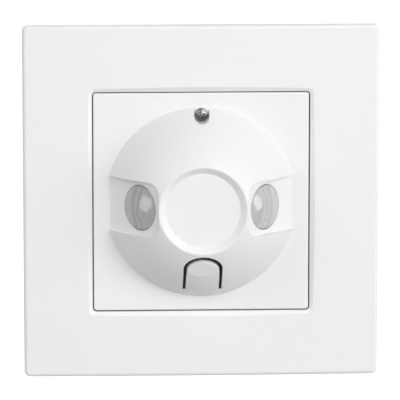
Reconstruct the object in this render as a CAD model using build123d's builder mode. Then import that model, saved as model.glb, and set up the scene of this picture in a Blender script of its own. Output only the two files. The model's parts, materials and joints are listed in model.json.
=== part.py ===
from build123d import *

import math
import os

# A flush wall-mounted motion sensor light switch, in millimetres.
# The wall's surface is the plane Y = 0. The front looks along -Y, +X is to the right and +Z is up.
# A height is a distance in front of the wall, and a depth is a distance behind it.
# The origin is midway between the two box screws, on the back of the steel support plate.

# Shared by every piece
overrun = 2.0  # how far a cut runs past the faces that it opens
seat_gap = 0.1  # between two moulded pieces of one body that sit together
hole_clearance = 0.05  # round a shank or a pin in its own hole
running_clearance = 0.08  # round a piece that turns or slides in its bore

# Cover frame
frame_size = 86.0
frame_corner = 1.4
frame_undercut = 1.0  # how far each side wall draws in from its widest line to the wall
frame_brow_height = 6.2  # where the side walls are widest
frame_crest_height = 9.0
frame_crown_radius = 1300.0
frame_edge_fillet = 0.9
frame_wall = 2.0
window_width = 52.7
window_height = 53.8
window_corner = 1.0
window_bevel_width = 1.2
window_bevel_depth = 0.75
rim_wall = 1.5
rim_back_height = 3.6  # where the rim round the window ends, clear of the box screws' heads
frame_rib_thickness = 1.2
frame_rib_spacing = 24.0

# Insert plate, in the frame's window
insert_gap = 0.3
insert_height = 8.0
insert_thickness = 2.0
insert_corner = 0.7
insert_edge_fillet = 0.35
skirt_wall = 1.2
skirt_back_height = 3.0
head_opening_radius = 21.0
hook_width = 8.0
hook_reach = 0.7
hook_thickness = 0.8
catch_reach = 0.5

# Sensor dome
dome_radius = 23.2
dome_rise = 14.0
rim_radius = 10.5
flank_bulge = 1.6
recess_bevel_width = 1.6
recess_depth = 1.4
rim_fillet = 0.5
dome_wall = 1.6
ledge_thickness = 1.0
spigot_clearance = 0.2
spigot_wall = 1.5
spigot_length = 2.8
barb_reach = 0.45
barb_thickness = 0.6
barb_width = 7.0

# Lens panels, one on each side of the dome
panel_tilt = 49.0
panel_foot = 21.9  # from the middle to where the panel meets the insert plate
panel_half_width = 6.6
panel_inner_end = 10.7
panel_corner = 2.6
lens_offset = 15.0
lens_radius = 5.5
lens_bulge = 0.6
lens_ear_span = 14.0
lens_ear_width = 5.0
lens_ear_thickness = 0.8
lens_groove_count = 9
lens_groove_width = 0.6
lens_groove_depth = 0.3

# Push key, a tongue of the dome that bends at its root
key_half_width = 4.0
key_slot = 0.7
key_root = 20.6  # below the middle
key_tip = 11.95
key_arch_rise = 2.6
key_root_gap = 0.03
key_hinge_thickness = 0.7
key_hinge_groove = 0.8
key_face_middle = 12.6
key_face_depth = 0.46  # under the flank, at the middle of the flat face
key_edge_fillet = 0.7
pusher_radius = 1.3
pusher_offset = 14.4
pusher_clearance = 0.04

# Cover screw, in a notch at the top of the dome
cover_screw_offset = 21.6
cover_screw_notch_radius = 1.9
cover_screw_boss_wall = 1.2
cover_screw_sill = 1.3
cover_screw_head_radius = 1.55
cover_screw_head_height = 1.3
cover_screw_radius = 1.1
cover_screw_length = 6.0
cover_lug_width = 8.5
cover_lug_reach = 17.2

# Cross recess and edges of every screw's head
cross_width_share = 0.32
cross_span_share = 1.2
cross_depth_share = 0.55
head_fillet_share = 0.45
tip_chamfer_share = 0.3

# Support plate, pressed steel
plate_clearance = 4.5  # inside the cover frame's walls
plate_corner = 4.0
plate_thickness = 1.0
box_screw_spacing = 60.0
box_slot_length = 6.0
box_slot_radius = 2.0
neck_margin = 0.7  # round the housing
neck_chamfer = 4.6
neck_clearance = 0.2
clip_width = 8.0
clip_spacing = 34.0
clip_top_height = 5.2
clip_gap = 0.25

# Front carrier
carrier_clearance = 0.85  # inside the insert plate's skirt
carrier_corner = 2.5
carrier_floor = 1.4
carrier_wall = 1.2
carrier_window_width = 27.0
carrier_window_height = 30.0
carrier_window_corner = 2.0
screw_post_radius = 2.6
screw_bay_clearance = 0.5
board_post_radius = 2.0

# Rear housing
housing_width = 39.0
housing_height = 46.0
housing_chamfer = 5.0
housing_depth = 28.0
housing_wall = 1.5
housing_rear_fillet = 1.0
flange_reach = 2.0
flange_thickness = 1.5
housing_screw_inset_x = 4.0  # from the housing's sides
housing_screw_inset_z = 9.0  # from its top and bottom
housing_boss_radius = 2.6
housing_boss_depth = 13.0
housing_screw_radius = 1.1
housing_screw_length = 12.0
housing_screw_head_radius = 2.0
housing_screw_head_height = 1.2
board_rail_width = 6.0
board_rail_reach = 1.0

# Terminals
terminal_count = 3
terminal_pitch = 9.5
terminal_block_height = 9.5
terminal_block_depth = 12.0
terminal_row_rise = 0.65  # of the cages' middles above the block's middle
cage_width = 6.0
cage_height = 6.0
cage_depth = 8.0
wire_radius = 1.6
terminal_screw_radius = 1.25
terminal_screw_head_radius = 2.0
terminal_screw_head_height = 0.8
terminal_access_clearance = 0.2
link_thickness = 0.8
link_width = 3.0
link_inset = 0.2

# Claws, which swing out of the support plate's ears
claw_screw_clearance = 3.7  # from the housing's side to the screw's middle
claw_screw_radius = 1.4
claw_screw_head_radius = 2.15
claw_screw_head_height = 1.5
claw_screw_top_height = 5.75
claw_screw_tip_depth = 11.4
claw_screw_cone_length = 1.5
claw_screw_point_radius = 0.6
claw_width = 8.8
claw_thickness = 1.0
claw_pivot_reach = 3.6  # from the screw's middle to the pivot
claw_pivot_depth = 2.2
claw_eye_radius = 1.8
claw_ramp_start = 10.5
claw_ramp_run = 3.0
claw_ramp_shift = 2.8
claw_heel_length = 2.5
claw_lip_reach = 2.6
claw_tooth_depth = 1.4
claw_tooth_count = 4
claw_pin_radius = 0.8
claw_pin_overhang = 0.5
ear_thickness = 1.0
ear_width = 3.8
ear_gap = 0.3

# Power board and what stands on it
board_thickness = 1.6
power_board_depth = 3.0
board_clearance = 0.3
relay_width = 19.0
relay_height = 15.4
relay_depth = 15.2
relay_place = (-2.5, 13.0)
relay_edge = 0.6
film_capacitor_width = 5.0
film_capacitor_height = 12.5
film_capacitor_depth = 11.0
film_capacitor_place = (10.2, 14.2)
film_capacitor_edge = 0.5
electrolytic_radius = 4.0
electrolytic_depth = 11.5
electrolytic_place = (12.2, 2.6)
electrolytic_bead_depth = 0.4
electrolytic_bead_place = 2.0
electrolytic_edge = 0.5
fuse_radius = 3.9
fuse_depth = 7.7
fuse_place = (12.6, -6.0)
fuse_edge = 0.6
choke_radius = 4.2
choke_depth = 8.0
choke_place = (-12.6, -5.9)
choke_waist = 1.0
choke_flange = 1.2
varistor_radius = 4.5
varistor_thickness = 3.8
varistor_place = (-0.4, -4.6)
varistor_edge = 0.8
rectifier_width = 5.6
rectifier_height = 5.6
rectifier_depth = 1.7
rectifier_place = (-13.9, 2.1)
rectifier_edge = 0.3

# Sensor board and what stands on it
sensor_board_clearance = 1.3  # inside the carrier's walls
sensor_board_corner = 2.0
sensor_board_height = 4.0
sensor_board_thickness = 1.0
board_screw_inset = 3.0
board_screw_radius = 0.9
board_screw_length = 3.2
board_screw_head_radius = 1.6
board_screw_head_height = 0.85
header_pin_count = 6
header_pitch = 2.0
header_pin_width = 0.5
header_pin_overhang = 0.8
header_body_width = 2.4
header_body_depth = 2.5
header_place = (0, 11.0)
cradle_width = 11.2
cradle_top_half = 2.6
cradle_wall = 1.2
pin_window_radius = 2.9
pir_distance = 10.6  # from the lens's face to the foot of the sensor's can
pir_can_radius = 4.05
pir_can_length = 4.2
pir_can_edge = 0.4
pir_flange_radius = 4.55
pir_flange_thickness = 0.5
pir_window_width = 4.4
pir_window_height = 3.4
pir_window_thickness = 0.5
pir_pin_radius = 0.23
pir_pin_circle = 2.54
pir_pin_length = 3.0
pir_pin_count = 3
chip_width = 10.2
chip_height = 6.2
chip_thickness = 1.3
chip_edge = 0.2
switch_size = 6.0
switch_rise = 3.5
switch_bore_depth = 1.6
plunger_radius = 1.7
plunger_top_height = 12.5
plunger_travel = 0.25
plunger_edge = 0.3
trimmer_size = 6.0
trimmer_rise = 2.6
trimmer_place = (9.5, 11.0)
rotor_radius = 2.2
rotor_rise = 1.0
rotor_sink = 1.2
rotor_slot_width = 0.7
rotor_slot_depth = 0.7
rotor_edge = 0.25
led_radius = 1.5
led_rise = 3.2
led_rim = 0.4
led_rim_rise = 0.8
led_place = (-9.0, -11.0)
light_sensor_radius = 2.5
light_sensor_rise = 2.0
light_sensor_flat = 0.5
light_sensor_place = (9.0, -11.0)

# Sizes that follow from the ones above
frame_back_size = frame_size - 2 * frame_undercut
frame_inner_size = frame_back_size - 2 * frame_wall
frame_rim_width = window_width + 2 * rim_wall
frame_rim_height = window_height + 2 * rim_wall
insert_width = window_width - 2 * insert_gap
insert_tall = window_height - 2 * insert_gap
insert_back_height = insert_height - insert_thickness
skirt_inner_width = insert_width - 2 * skirt_wall
skirt_inner_height = insert_tall - 2 * skirt_wall
plate_size = frame_inner_size - 2 * plate_clearance
neck_width = housing_width + 2 * neck_margin
neck_height = housing_height + 2 * neck_margin
flange_width = housing_width + 2 * flange_reach
flange_height = housing_height + 2 * flange_reach
carrier_width = skirt_inner_width - 2 * carrier_clearance
carrier_height = skirt_inner_height - 2 * carrier_clearance
carrier_inner_width = carrier_width - 2 * carrier_wall
carrier_inner_height = carrier_height - 2 * carrier_wall
sensor_board_width = carrier_inner_width - 2 * sensor_board_clearance
sensor_board_length = carrier_inner_height - 2 * sensor_board_clearance
board_screw_spacing_x = sensor_board_width - 2 * board_screw_inset
board_screw_spacing_z = sensor_board_length - 2 * board_screw_inset
carrier_top_height = insert_back_height - seat_gap
carrier_floor_height = plate_thickness + carrier_floor
screw_bay = 2 * (claw_screw_head_radius + screw_bay_clearance)
claw_screw_offset = housing_width / 2 + claw_screw_clearance
claw_pivot_offset = claw_screw_offset + claw_pivot_reach
housing_screw_spacing_x = housing_width - 2 * housing_screw_inset_x
housing_screw_spacing_z = housing_height - 2 * housing_screw_inset_z
dome_top_height = insert_height + dome_rise
recess_floor_height = dome_top_height - recess_depth
cavity_top_height = recess_floor_height - dome_wall
ledge_height = insert_height + ledge_thickness
spigot_radius = head_opening_radius - spigot_clearance
spigot_inner_radius = spigot_radius - spigot_wall
spigot_back_height = insert_height - spigot_length
tilt_sine = math.sin(math.radians(panel_tilt))
tilt_cosine = math.cos(math.radians(panel_tilt))
lens_height = insert_height + (panel_foot - lens_offset) * tilt_sine / tilt_cosine
sensor_board_top = sensor_board_height + sensor_board_thickness
power_board_back = power_board_depth + board_thickness
cover_screw_seat = insert_height + cover_screw_sill
terminal_block_width = terminal_count * terminal_pitch
terminal_block_front = housing_depth - terminal_block_depth
terminal_block_middle = (terminal_block_height - housing_height) / 2
terminal_row = -terminal_block_middle - terminal_row_rise
cage_middle_depth = terminal_block_front + cage_depth / 2


def front_plane(height):
    """The plane parallel to the wall at this height in front of it, facing the room."""
    return Plane.XZ.offset(height)


def side_plane(offset):
    """The level plane this far above the middle, where depths run along its +Y."""
    return Plane.XY.offset(offset)


def crown_height(distance):
    """The height of the frame's crowned face at this distance from the middle."""
    return frame_crest_height - frame_crown_radius + math.sqrt(frame_crown_radius**2 - distance**2)


def lens_plane(side):
    """The face of the lens panel on that side, +1 right or -1 left, with its +Y up the slope."""
    return Plane(
        origin=(side * lens_offset, -lens_height, 0),
        x_dir=(0, 0, side),
        z_dir=(side * tilt_sine, -tilt_cosine, 0),
    )


# The profiles of turned pieces are drawn as (radius, height) on this plane.
meridian = Plane(origin=(0, 0, 0), x_dir=(1, 0, 0), z_dir=(0, 0, -1))

# Cover frame: a shallow square ring with a faintly crowned face and a bevelled window
with BuildPart() as outer_frame:
    with BuildSketch(Plane.XZ):
        RectangleRounded(frame_back_size, frame_back_size, frame_corner)
    with BuildSketch(front_plane(frame_brow_height)) as frame_outline:
        RectangleRounded(frame_size, frame_size, frame_corner)
    loft(ruled=True)
    extrude(frame_outline.sketch, amount=frame_crest_height)
    with Locations((0, frame_crown_radius - frame_crest_height, 0)):
        Sphere(frame_crown_radius, mode=Mode.INTERSECT)
    crown = outer_frame.faces().filter_by(GeomType.SPHERE)
    fillet(crown.edges(), frame_edge_fillet)
    bevel_foot_height = crown_height(window_width / 2 + window_bevel_width) - window_bevel_depth
    bevel_flare = 2 * (window_bevel_depth + overrun) * window_bevel_width / window_bevel_depth
    with BuildSketch(front_plane(bevel_foot_height)):
        RectangleRounded(window_width, window_height, window_corner)
    with BuildSketch(front_plane(bevel_foot_height + window_bevel_depth + overrun)):
        RectangleRounded(window_width + bevel_flare, window_height + bevel_flare, window_corner)
    loft(ruled=True, mode=Mode.SUBTRACT)
    with BuildSketch(Plane.XZ):
        RectangleRounded(window_width, window_height, window_corner)
    extrude(amount=frame_crest_height, mode=Mode.SUBTRACT)
    hollow_height = crown_height(frame_size / 2) - frame_wall
    with BuildSketch(Plane.XZ):
        RectangleRounded(frame_inner_size, frame_inner_size, frame_corner)
        RectangleRounded(frame_rim_width, frame_rim_height, window_corner, mode=Mode.SUBTRACT)
    extrude(amount=hollow_height, mode=Mode.SUBTRACT)
    with BuildSketch(Plane.XZ):
        RectangleRounded(frame_inner_size, frame_inner_size, frame_corner)
    extrude(amount=rim_back_height, mode=Mode.SUBTRACT)
    with BuildSketch(front_plane(rim_back_height)):
        with GridLocations(frame_rib_spacing, 0, 2, 1):
            Rectangle(frame_rib_thickness, frame_inner_size)
        with GridLocations(0, frame_rib_spacing, 1, 2):
            Rectangle(frame_inner_size, frame_rib_thickness)
        RectangleRounded(frame_rim_width, frame_rim_height, window_corner, mode=Mode.SUBTRACT)
    extrude(amount=hollow_height - rim_back_height)

# Insert plate: fills the window, with a skirt behind it and a round opening for the dome
with BuildPart() as insert_plate:
    with BuildSketch(front_plane(skirt_back_height)):
        RectangleRounded(insert_width, insert_tall, insert_corner)
    extrude(amount=insert_height - skirt_back_height)
    fillet(insert_plate.faces().sort_by(Axis.Y)[0].edges(), insert_edge_fillet)
    with BuildSketch(front_plane(skirt_back_height)):
        RectangleRounded(skirt_inner_width, skirt_inner_height, insert_corner)
    extrude(amount=insert_back_height - skirt_back_height, mode=Mode.SUBTRACT)
    with BuildSketch(front_plane(skirt_back_height)):
        Circle(head_opening_radius)
        with Locations((0, cover_lug_reach + head_opening_radius / 2)):
            Rectangle(cover_lug_width, head_opening_radius, mode=Mode.SUBTRACT)
    extrude(amount=insert_height, mode=Mode.SUBTRACT)
    with BuildSketch(front_plane(insert_back_height)):
        with Locations((0, cover_screw_offset)):
            Circle(cover_screw_radius + hole_clearance)
    extrude(amount=insert_height, mode=Mode.SUBTRACT)
    with BuildSketch(front_plane(skirt_back_height)):
        with GridLocations(2 * claw_screw_offset, 0, 2, 1):
            Rectangle(2 * screw_bay, screw_bay)
    extrude(amount=insert_back_height - skirt_back_height, mode=Mode.SUBTRACT)
    with BuildSketch(front_plane(skirt_back_height)):
        with GridLocations(0, skirt_inner_height - hook_reach, 1, 2):
            Rectangle(hook_width, hook_reach)
    extrude(amount=hook_thickness)

# Dome: the arc of its flank, from the foot on the insert plate to the head at the rim
flank_foot = Vector(dome_radius, insert_height)
flank_head = Vector(rim_radius, dome_top_height)
flank_span = flank_head - flank_foot
flank_out = Vector(flank_span.Y, -flank_span.X).normalized()
flank_radius = (flank_span.length**2 / 4 + flank_bulge**2) / (2 * flank_bulge)
flank_middle = (flank_foot + flank_head) * 0.5 + flank_out * flank_bulge
flank_centre = flank_middle - flank_out * flank_radius


def flank_height(radius, wall=0):
    """The height of the flank at this radius, or of the surface one wall under it."""
    return flank_centre.Y + math.sqrt((flank_radius - wall) ** 2 - (radius - flank_centre.X) ** 2)


def under_flank(wall):
    """The space that lies deeper than this wall under the flank."""
    share = (flank_radius - wall) / flank_radius
    foot, middle, head = [
        flank_centre + (point - flank_centre) * share
        for point in (flank_foot, flank_middle, flank_head)
    ]
    with BuildPart() as space:
        with BuildSketch(meridian):
            with BuildLine():
                ThreePointArc(foot, middle, head)
                Polyline(head, (0, head.Y), (0, foot.Y), foot)
            make_face()
        revolve(axis=Axis.Y)
    return space.part


def panel_pocket(side, setback):
    """What stands in front of a lens panel's plane, or of the plane this far behind it."""
    reach = dome_radius + overrun - panel_inner_end + setback
    with BuildPart() as pocket:
        with BuildSketch(Plane.XZ) as outline:
            with Locations((side * (panel_inner_end - setback + reach / 2), 0)):
                Rectangle(reach, 2 * (panel_half_width + setback))
            inner_corners = outline.vertices().sort_by_distance((0, 0, 0))[:2]
            fillet(inner_corners, panel_corner + setback)
        extrude(amount=dome_top_height + overrun)
        split(bisect_by=lens_plane(side).offset(-setback), keep=Keep.TOP)
    return pocket.part


def key_prism(margin, root_gap=0):
    """The push key's outline, grown by a margin beside it and past its tip, run through the wall."""
    half_width = key_half_width + margin
    shoulder = -key_tip - key_arch_rise
    root = root_gap - key_root
    with BuildPart() as prism:
        with BuildSketch(front_plane(ledge_height)):
            with BuildLine():
                Polyline(
                    (-half_width, shoulder),
                    (-half_width, root),
                    (half_width, root),
                    (half_width, shoulder),
                )
                EllipticalCenterArc((0, shoulder), half_width, key_arch_rise + margin, arc_size=180)
            make_face()
        extrude(amount=dome_rise + overrun)
    return prism.part


def turned_dome():
    """The dome as one solid of revolution, before anything is cut out of it."""
    with BuildPart() as form:
        with BuildSketch(meridian) as profile:
            with BuildLine():
                ThreePointArc(flank_foot, flank_middle, flank_head)
                Polyline(
                    flank_head,
                    (rim_radius - recess_bevel_width, recess_floor_height),
                    (0, recess_floor_height),
                    (0, insert_height),
                    flank_foot,
                )
            make_face()
            fillet(profile.vertices().sort_by(Axis.Y)[-1], rim_fillet)
        revolve(axis=Axis.Y)
    return form.part


dome_solid = turned_dome()
dome_space = under_flank(dome_wall)
lens_pockets = [panel_pocket(side, 0) for side in (-1, 1)]
lens_walls = [panel_pocket(side, dome_wall) for side in (-1, 1)]
key_opening = key_prism(key_slot)
key_body = key_prism(0, key_root_gap)
hinge_space = under_flank(key_hinge_thickness)

# The hollow of the dome, which leaves the lens panels' walls and the cover screw's boss
with BuildPart() as dome_hollow:
    add(dome_space)
    split(bisect_by=front_plane(cavity_top_height), keep=Keep.BOTTOM)
    split(bisect_by=front_plane(ledge_height), keep=Keep.TOP)
    for lens_wall in lens_walls:
        add(lens_wall, mode=Mode.SUBTRACT)
    with BuildSketch(front_plane(insert_height)):
        with Locations((0, cover_screw_offset)):
            Circle(cover_screw_notch_radius + cover_screw_boss_wall)
    extrude(amount=dome_rise, mode=Mode.SUBTRACT)

# Sensor dome: a moulded cap with two sunken lens panels, a dished centre and a screw notch
with BuildPart() as sensor_dome:
    add(dome_solid)
    for lens_pocket in lens_pockets:
        add(lens_pocket, mode=Mode.SUBTRACT)
    add(dome_hollow.part, mode=Mode.SUBTRACT)
    with BuildSketch(front_plane(spigot_back_height)) as spigot_ring:
        Circle(spigot_radius)
        Circle(spigot_inner_radius, mode=Mode.SUBTRACT)
        with Locations((0, cover_lug_reach + head_opening_radius / 2)):
            Rectangle(cover_lug_width + 2 * seat_gap, head_opening_radius + 2 * seat_gap, mode=Mode.SUBTRACT)
    extrude(amount=spigot_length)
    with BuildSketch(front_plane(insert_height)):
        Circle(spigot_inner_radius)
        with Locations((0, cover_screw_offset)):
            Circle(cover_screw_notch_radius + cover_screw_boss_wall, mode=Mode.SUBTRACT)
    extrude(amount=ledge_thickness, mode=Mode.SUBTRACT)
    with BuildSketch(front_plane(spigot_back_height)):
        with PolarLocations(spigot_radius, 4, start_angle=45):
            Rectangle(2 * barb_reach, barb_width)
        Circle(spigot_inner_radius, mode=Mode.SUBTRACT)
    extrude(amount=barb_thickness)
    for side in (-1, 1):
        with BuildSketch(lens_plane(side)):
            Circle(lens_radius + hole_clearance)
        extrude(amount=overrun, both=True, mode=Mode.SUBTRACT)
    add(key_opening, mode=Mode.SUBTRACT)
    with BuildSketch(front_plane(cover_screw_seat)):
        with Locations((0, cover_screw_offset)):
            Circle(cover_screw_notch_radius)
        with Locations((0, cover_screw_offset + dome_radius / 2)):
            Rectangle(2 * cover_screw_notch_radius, dome_radius)
    extrude(amount=dome_rise, mode=Mode.SUBTRACT)
    with BuildSketch(front_plane(insert_height)):
        with Locations((0, cover_screw_offset)):
            Circle(cover_screw_radius + hole_clearance)
    extrude(amount=cover_screw_sill, mode=Mode.SUBTRACT)

# Push key: the tongue inside the slot, with a flat face at its tip and a pusher behind it
key_face_height = flank_height(key_face_middle)
key_face_plane = Plane(
    origin=(0, -key_face_height, -key_face_middle),
    x_dir=(1, 0, 0),
    z_dir=(0, flank_centre.Y - key_face_height, flank_centre.X - key_face_middle),
)
pusher_end_height = plunger_top_height + pusher_clearance + pusher_radius

with BuildPart() as push_key:
    add(dome_solid)
    split(bisect_by=key_face_plane.offset(-key_face_depth), keep=Keep.BOTTOM)
    add(key_body, mode=Mode.INTERSECT)
    key_face = push_key.faces().sort_by_distance(key_face_plane.origin)[0]
    fillet(key_face.edges().sort_by(Axis.Z)[-1], key_edge_fillet)
    add(dome_space, mode=Mode.SUBTRACT)
    with BuildSketch(front_plane(pusher_end_height)):
        with Locations((0, -pusher_offset)):
            Circle(pusher_radius)
    extrude(amount=flank_height(pusher_offset, dome_wall / 2) - pusher_end_height)
    with Locations((0, -pusher_end_height, -pusher_offset)):
        Sphere(pusher_radius)

# The groove behind the push key's root, cut so that only the hinge's thickness is left
with BuildPart() as hinge_groove:
    add(hinge_space)
    split(bisect_by=side_plane(key_hinge_groove - key_root), keep=Keep.BOTTOM)

with BuildPart() as push_key_grooved:
    add(push_key.part)
    add(hinge_groove.part, mode=Mode.SUBTRACT)
push_key = push_key_grooved


def lens(side):
    """A milky lens with a bulged face, ears behind its panel and grooves on its back."""
    face = lens_plane(side)
    back = face.offset(-dome_wall)
    bulge_radius = (lens_radius**2 + lens_bulge**2) / (2 * lens_bulge)
    with BuildPart() as body:
        with BuildSketch(back):
            Circle(lens_radius)
        extrude(amount=dome_wall + lens_bulge)
        with Locations(face.offset(lens_bulge - bulge_radius)):
            Sphere(bulge_radius, mode=Mode.INTERSECT)
        with BuildSketch(back):
            SlotOverall(lens_ear_span, lens_ear_width)
            Circle(lens_radius)
        extrude(amount=-lens_ear_thickness)
        with BuildSketch(back.offset(-lens_ear_thickness)):
            with GridLocations(0, 2 * lens_groove_width, 1, lens_groove_count):
                Rectangle(2 * lens_radius, lens_groove_width)
            Circle(lens_radius - lens_groove_width, mode=Mode.INTERSECT)
        extrude(amount=lens_groove_depth, mode=Mode.SUBTRACT)
    return body


lens_left = lens(-1)
lens_right = lens(1)


def pan_screws(places, head_radius, head_height, shank_radius, shank_length):
    """Pan head screws with a cross recess, one on each plane, which lies under its head."""
    up = Axis((0, 0, 0), places[0].z_dir)
    with BuildPart() as screws:
        with BuildSketch(*places):
            Circle(head_radius)
        extrude(amount=head_height)
        fillet(screws.edges().group_by(up)[-1], head_fillet_share * head_height)
        with BuildSketch(*[place.offset(head_height) for place in places]):
            Rectangle(cross_span_share * head_radius, cross_width_share * head_radius)
            Rectangle(cross_width_share * head_radius, cross_span_share * head_radius)
        extrude(amount=-cross_depth_share * head_height, mode=Mode.SUBTRACT)
        with BuildSketch(*places):
            Circle(shank_radius)
        extrude(amount=-shank_length)
        chamfer(screws.edges().group_by(up)[0], tip_chamfer_share * shank_radius)
    return screws


def grid_planes(height, spacing_x, spacing_z):
    """Four planes facing the room at this height, at the corners of a rectangle."""
    return [
        Plane(origin=(across * spacing_x / 2, -height, up * spacing_z / 2), x_dir=(1, 0, 0), z_dir=(0, -1, 0))
        for across in (-1, 1)
        for up in (-1, 1)
    ]


cover_screw = pan_screws(
    [Plane(origin=(0, -cover_screw_seat, cover_screw_offset), x_dir=(1, 0, 0), z_dir=(0, -1, 0))],
    cover_screw_head_radius,
    cover_screw_head_height,
    cover_screw_radius,
    cover_screw_length,
)
housing_screws = pan_screws(
    grid_planes(carrier_floor_height, housing_screw_spacing_x, housing_screw_spacing_z),
    housing_screw_head_radius,
    housing_screw_head_height,
    housing_screw_radius,
    housing_screw_length,
)
board_screws = pan_screws(
    grid_planes(sensor_board_top, board_screw_spacing_x, board_screw_spacing_z),
    board_screw_head_radius,
    board_screw_head_height,
    board_screw_radius,
    board_screw_length,
)

# Support plate: pressed steel with slots for the box screws, spring clips and ears for the claws
ear_inner = claw_width / 2 + ear_gap
with BuildPart() as support_plate:
    with BuildSketch(Plane.XZ) as neck_opening:
        Rectangle(neck_width, neck_height)
        chamfer(neck_opening.vertices(), neck_chamfer)
    with BuildSketch(Plane.XZ):
        RectangleRounded(plate_size, plate_size, plate_corner)
        with Locations((0, box_screw_spacing / 2), (0, -box_screw_spacing / 2)):
            SlotOverall(box_slot_length, 2 * box_slot_radius, rotation=90, mode=Mode.SUBTRACT)
        with GridLocations(2 * claw_screw_offset, 0, 2, 1):
            Circle(claw_screw_radius + hole_clearance, mode=Mode.SUBTRACT)
    extrude(amount=plate_thickness)
    extrude(neck_opening.sketch, amount=plate_thickness, mode=Mode.SUBTRACT)
    clip_offset = frame_rim_width / 2 + clip_gap + plate_thickness / 2
    with BuildSketch(front_plane(plate_thickness)):
        with GridLocations(2 * clip_offset, clip_spacing, 2, 2):
            Rectangle(plate_thickness, clip_width)
    extrude(amount=clip_top_height - plate_thickness)
    for side in (-1, 1):
        for level in (ear_inner, -ear_inner - ear_thickness):
            with BuildSketch(side_plane(level)):
                with Locations((side * claw_pivot_offset, claw_pivot_depth)):
                    Circle(ear_width / 2)
                with Locations((side * claw_pivot_offset, claw_pivot_depth / 2)):
                    Rectangle(ear_width, claw_pivot_depth)
                with Locations((side * claw_pivot_offset, claw_pivot_depth)):
                    Circle(claw_pin_radius + hole_clearance, mode=Mode.SUBTRACT)
            extrude(amount=ear_thickness)

# Front carrier: a shallow tray on the support plate, with posts for the board and the cover screw
with BuildPart() as carrier:
    with BuildSketch(front_plane(plate_thickness)):
        RectangleRounded(carrier_width, carrier_height, carrier_corner)
    extrude(amount=carrier_top_height - plate_thickness)
    with BuildSketch(front_plane(carrier_floor_height)):
        RectangleRounded(carrier_inner_width, carrier_inner_height, carrier_corner - carrier_wall)
        with Locations((0, cover_screw_offset)):
            Circle(screw_post_radius, mode=Mode.SUBTRACT)
    extrude(amount=carrier_top_height, mode=Mode.SUBTRACT)
    with BuildSketch(front_plane(carrier_floor_height)):
        with GridLocations(board_screw_spacing_x, board_screw_spacing_z, 2, 2):
            Circle(board_post_radius)
    extrude(amount=sensor_board_height - carrier_floor_height)
    with BuildSketch(Plane.XZ) as neck:
        Rectangle(neck_width - 2 * neck_clearance, neck_height - 2 * neck_clearance)
        chamfer(neck.vertices(), neck_chamfer)
    extrude(amount=plate_thickness)
    with BuildSketch(Plane.XZ):
        RectangleRounded(carrier_window_width, carrier_window_height, carrier_window_corner)
    extrude(amount=carrier_floor_height, mode=Mode.SUBTRACT)
    with BuildSketch(Plane.XZ):
        with GridLocations(housing_screw_spacing_x, housing_screw_spacing_z, 2, 2):
            Circle(housing_screw_radius + hole_clearance)
        with GridLocations(board_screw_spacing_x, board_screw_spacing_z, 2, 2):
            Circle(board_screw_radius + hole_clearance)
        with Locations((0, cover_screw_offset)):
            Circle(cover_screw_radius + hole_clearance)
        with GridLocations(2 * claw_screw_offset, 0, 2, 1):
            RectangleRounded(screw_bay, screw_bay, claw_screw_head_radius)
    extrude(amount=carrier_top_height, mode=Mode.SUBTRACT)
    hook_top_height = skirt_back_height + hook_thickness + seat_gap
    with BuildSketch(front_plane(hook_top_height)):
        with GridLocations(0, carrier_height + catch_reach, 1, 2):
            Rectangle(hook_width, catch_reach)
    extrude(amount=hook_thickness)

# Rear housing: a tub with cut corners, whose flange lies behind the support plate
inner_chamfer = housing_chamfer - housing_wall * (2 - math.sqrt(2))
with BuildPart() as housing:
    with BuildSketch(Plane.XZ) as outline:
        Rectangle(housing_width, housing_height)
        chamfer(outline.vertices(), housing_chamfer)
    extrude(amount=-housing_depth)
    fillet(housing.faces().sort_by(Axis.Y)[-1].edges(), housing_rear_fillet)
    with BuildSketch(Plane.XZ) as flange_outline:
        Rectangle(flange_width, flange_height)
        chamfer(flange_outline.vertices(), housing_chamfer)
    extrude(amount=-flange_thickness)
    with BuildSketch(Plane.XZ) as inner_outline:
        Rectangle(housing_width - 2 * housing_wall, housing_height - 2 * housing_wall)
        chamfer(inner_outline.vertices(), inner_chamfer)
    extrude(amount=housing_wall - housing_depth, mode=Mode.SUBTRACT)
    with BuildSketch(Plane.XZ):
        with GridLocations(housing_screw_spacing_x, housing_screw_spacing_z, 2, 2):
            Circle(housing_boss_radius)
    extrude(amount=-housing_boss_depth)
    with BuildSketch(Plane.XZ):
        with GridLocations(housing_screw_spacing_x, housing_screw_spacing_z, 2, 2):
            Circle(housing_screw_radius + hole_clearance)
    extrude(amount=-housing_screw_length, mode=Mode.SUBTRACT)
    with BuildSketch(front_plane(-power_board_back)):
        with GridLocations(housing_width - 2 * housing_wall - board_rail_reach, 0, 2, 1):
            Rectangle(board_rail_reach, board_rail_width)
    extrude(amount=power_board_back + housing_wall - housing_depth)
    with BuildSketch(front_plane(seat_gap - terminal_block_front)):
        with Locations((0, terminal_block_middle - housing_height / 2)):
            Rectangle(
                terminal_block_width + 2 * seat_gap,
                terminal_block_height + housing_height + 2 * seat_gap,
            )
    extrude(amount=-housing_depth, mode=Mode.SUBTRACT)

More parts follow.
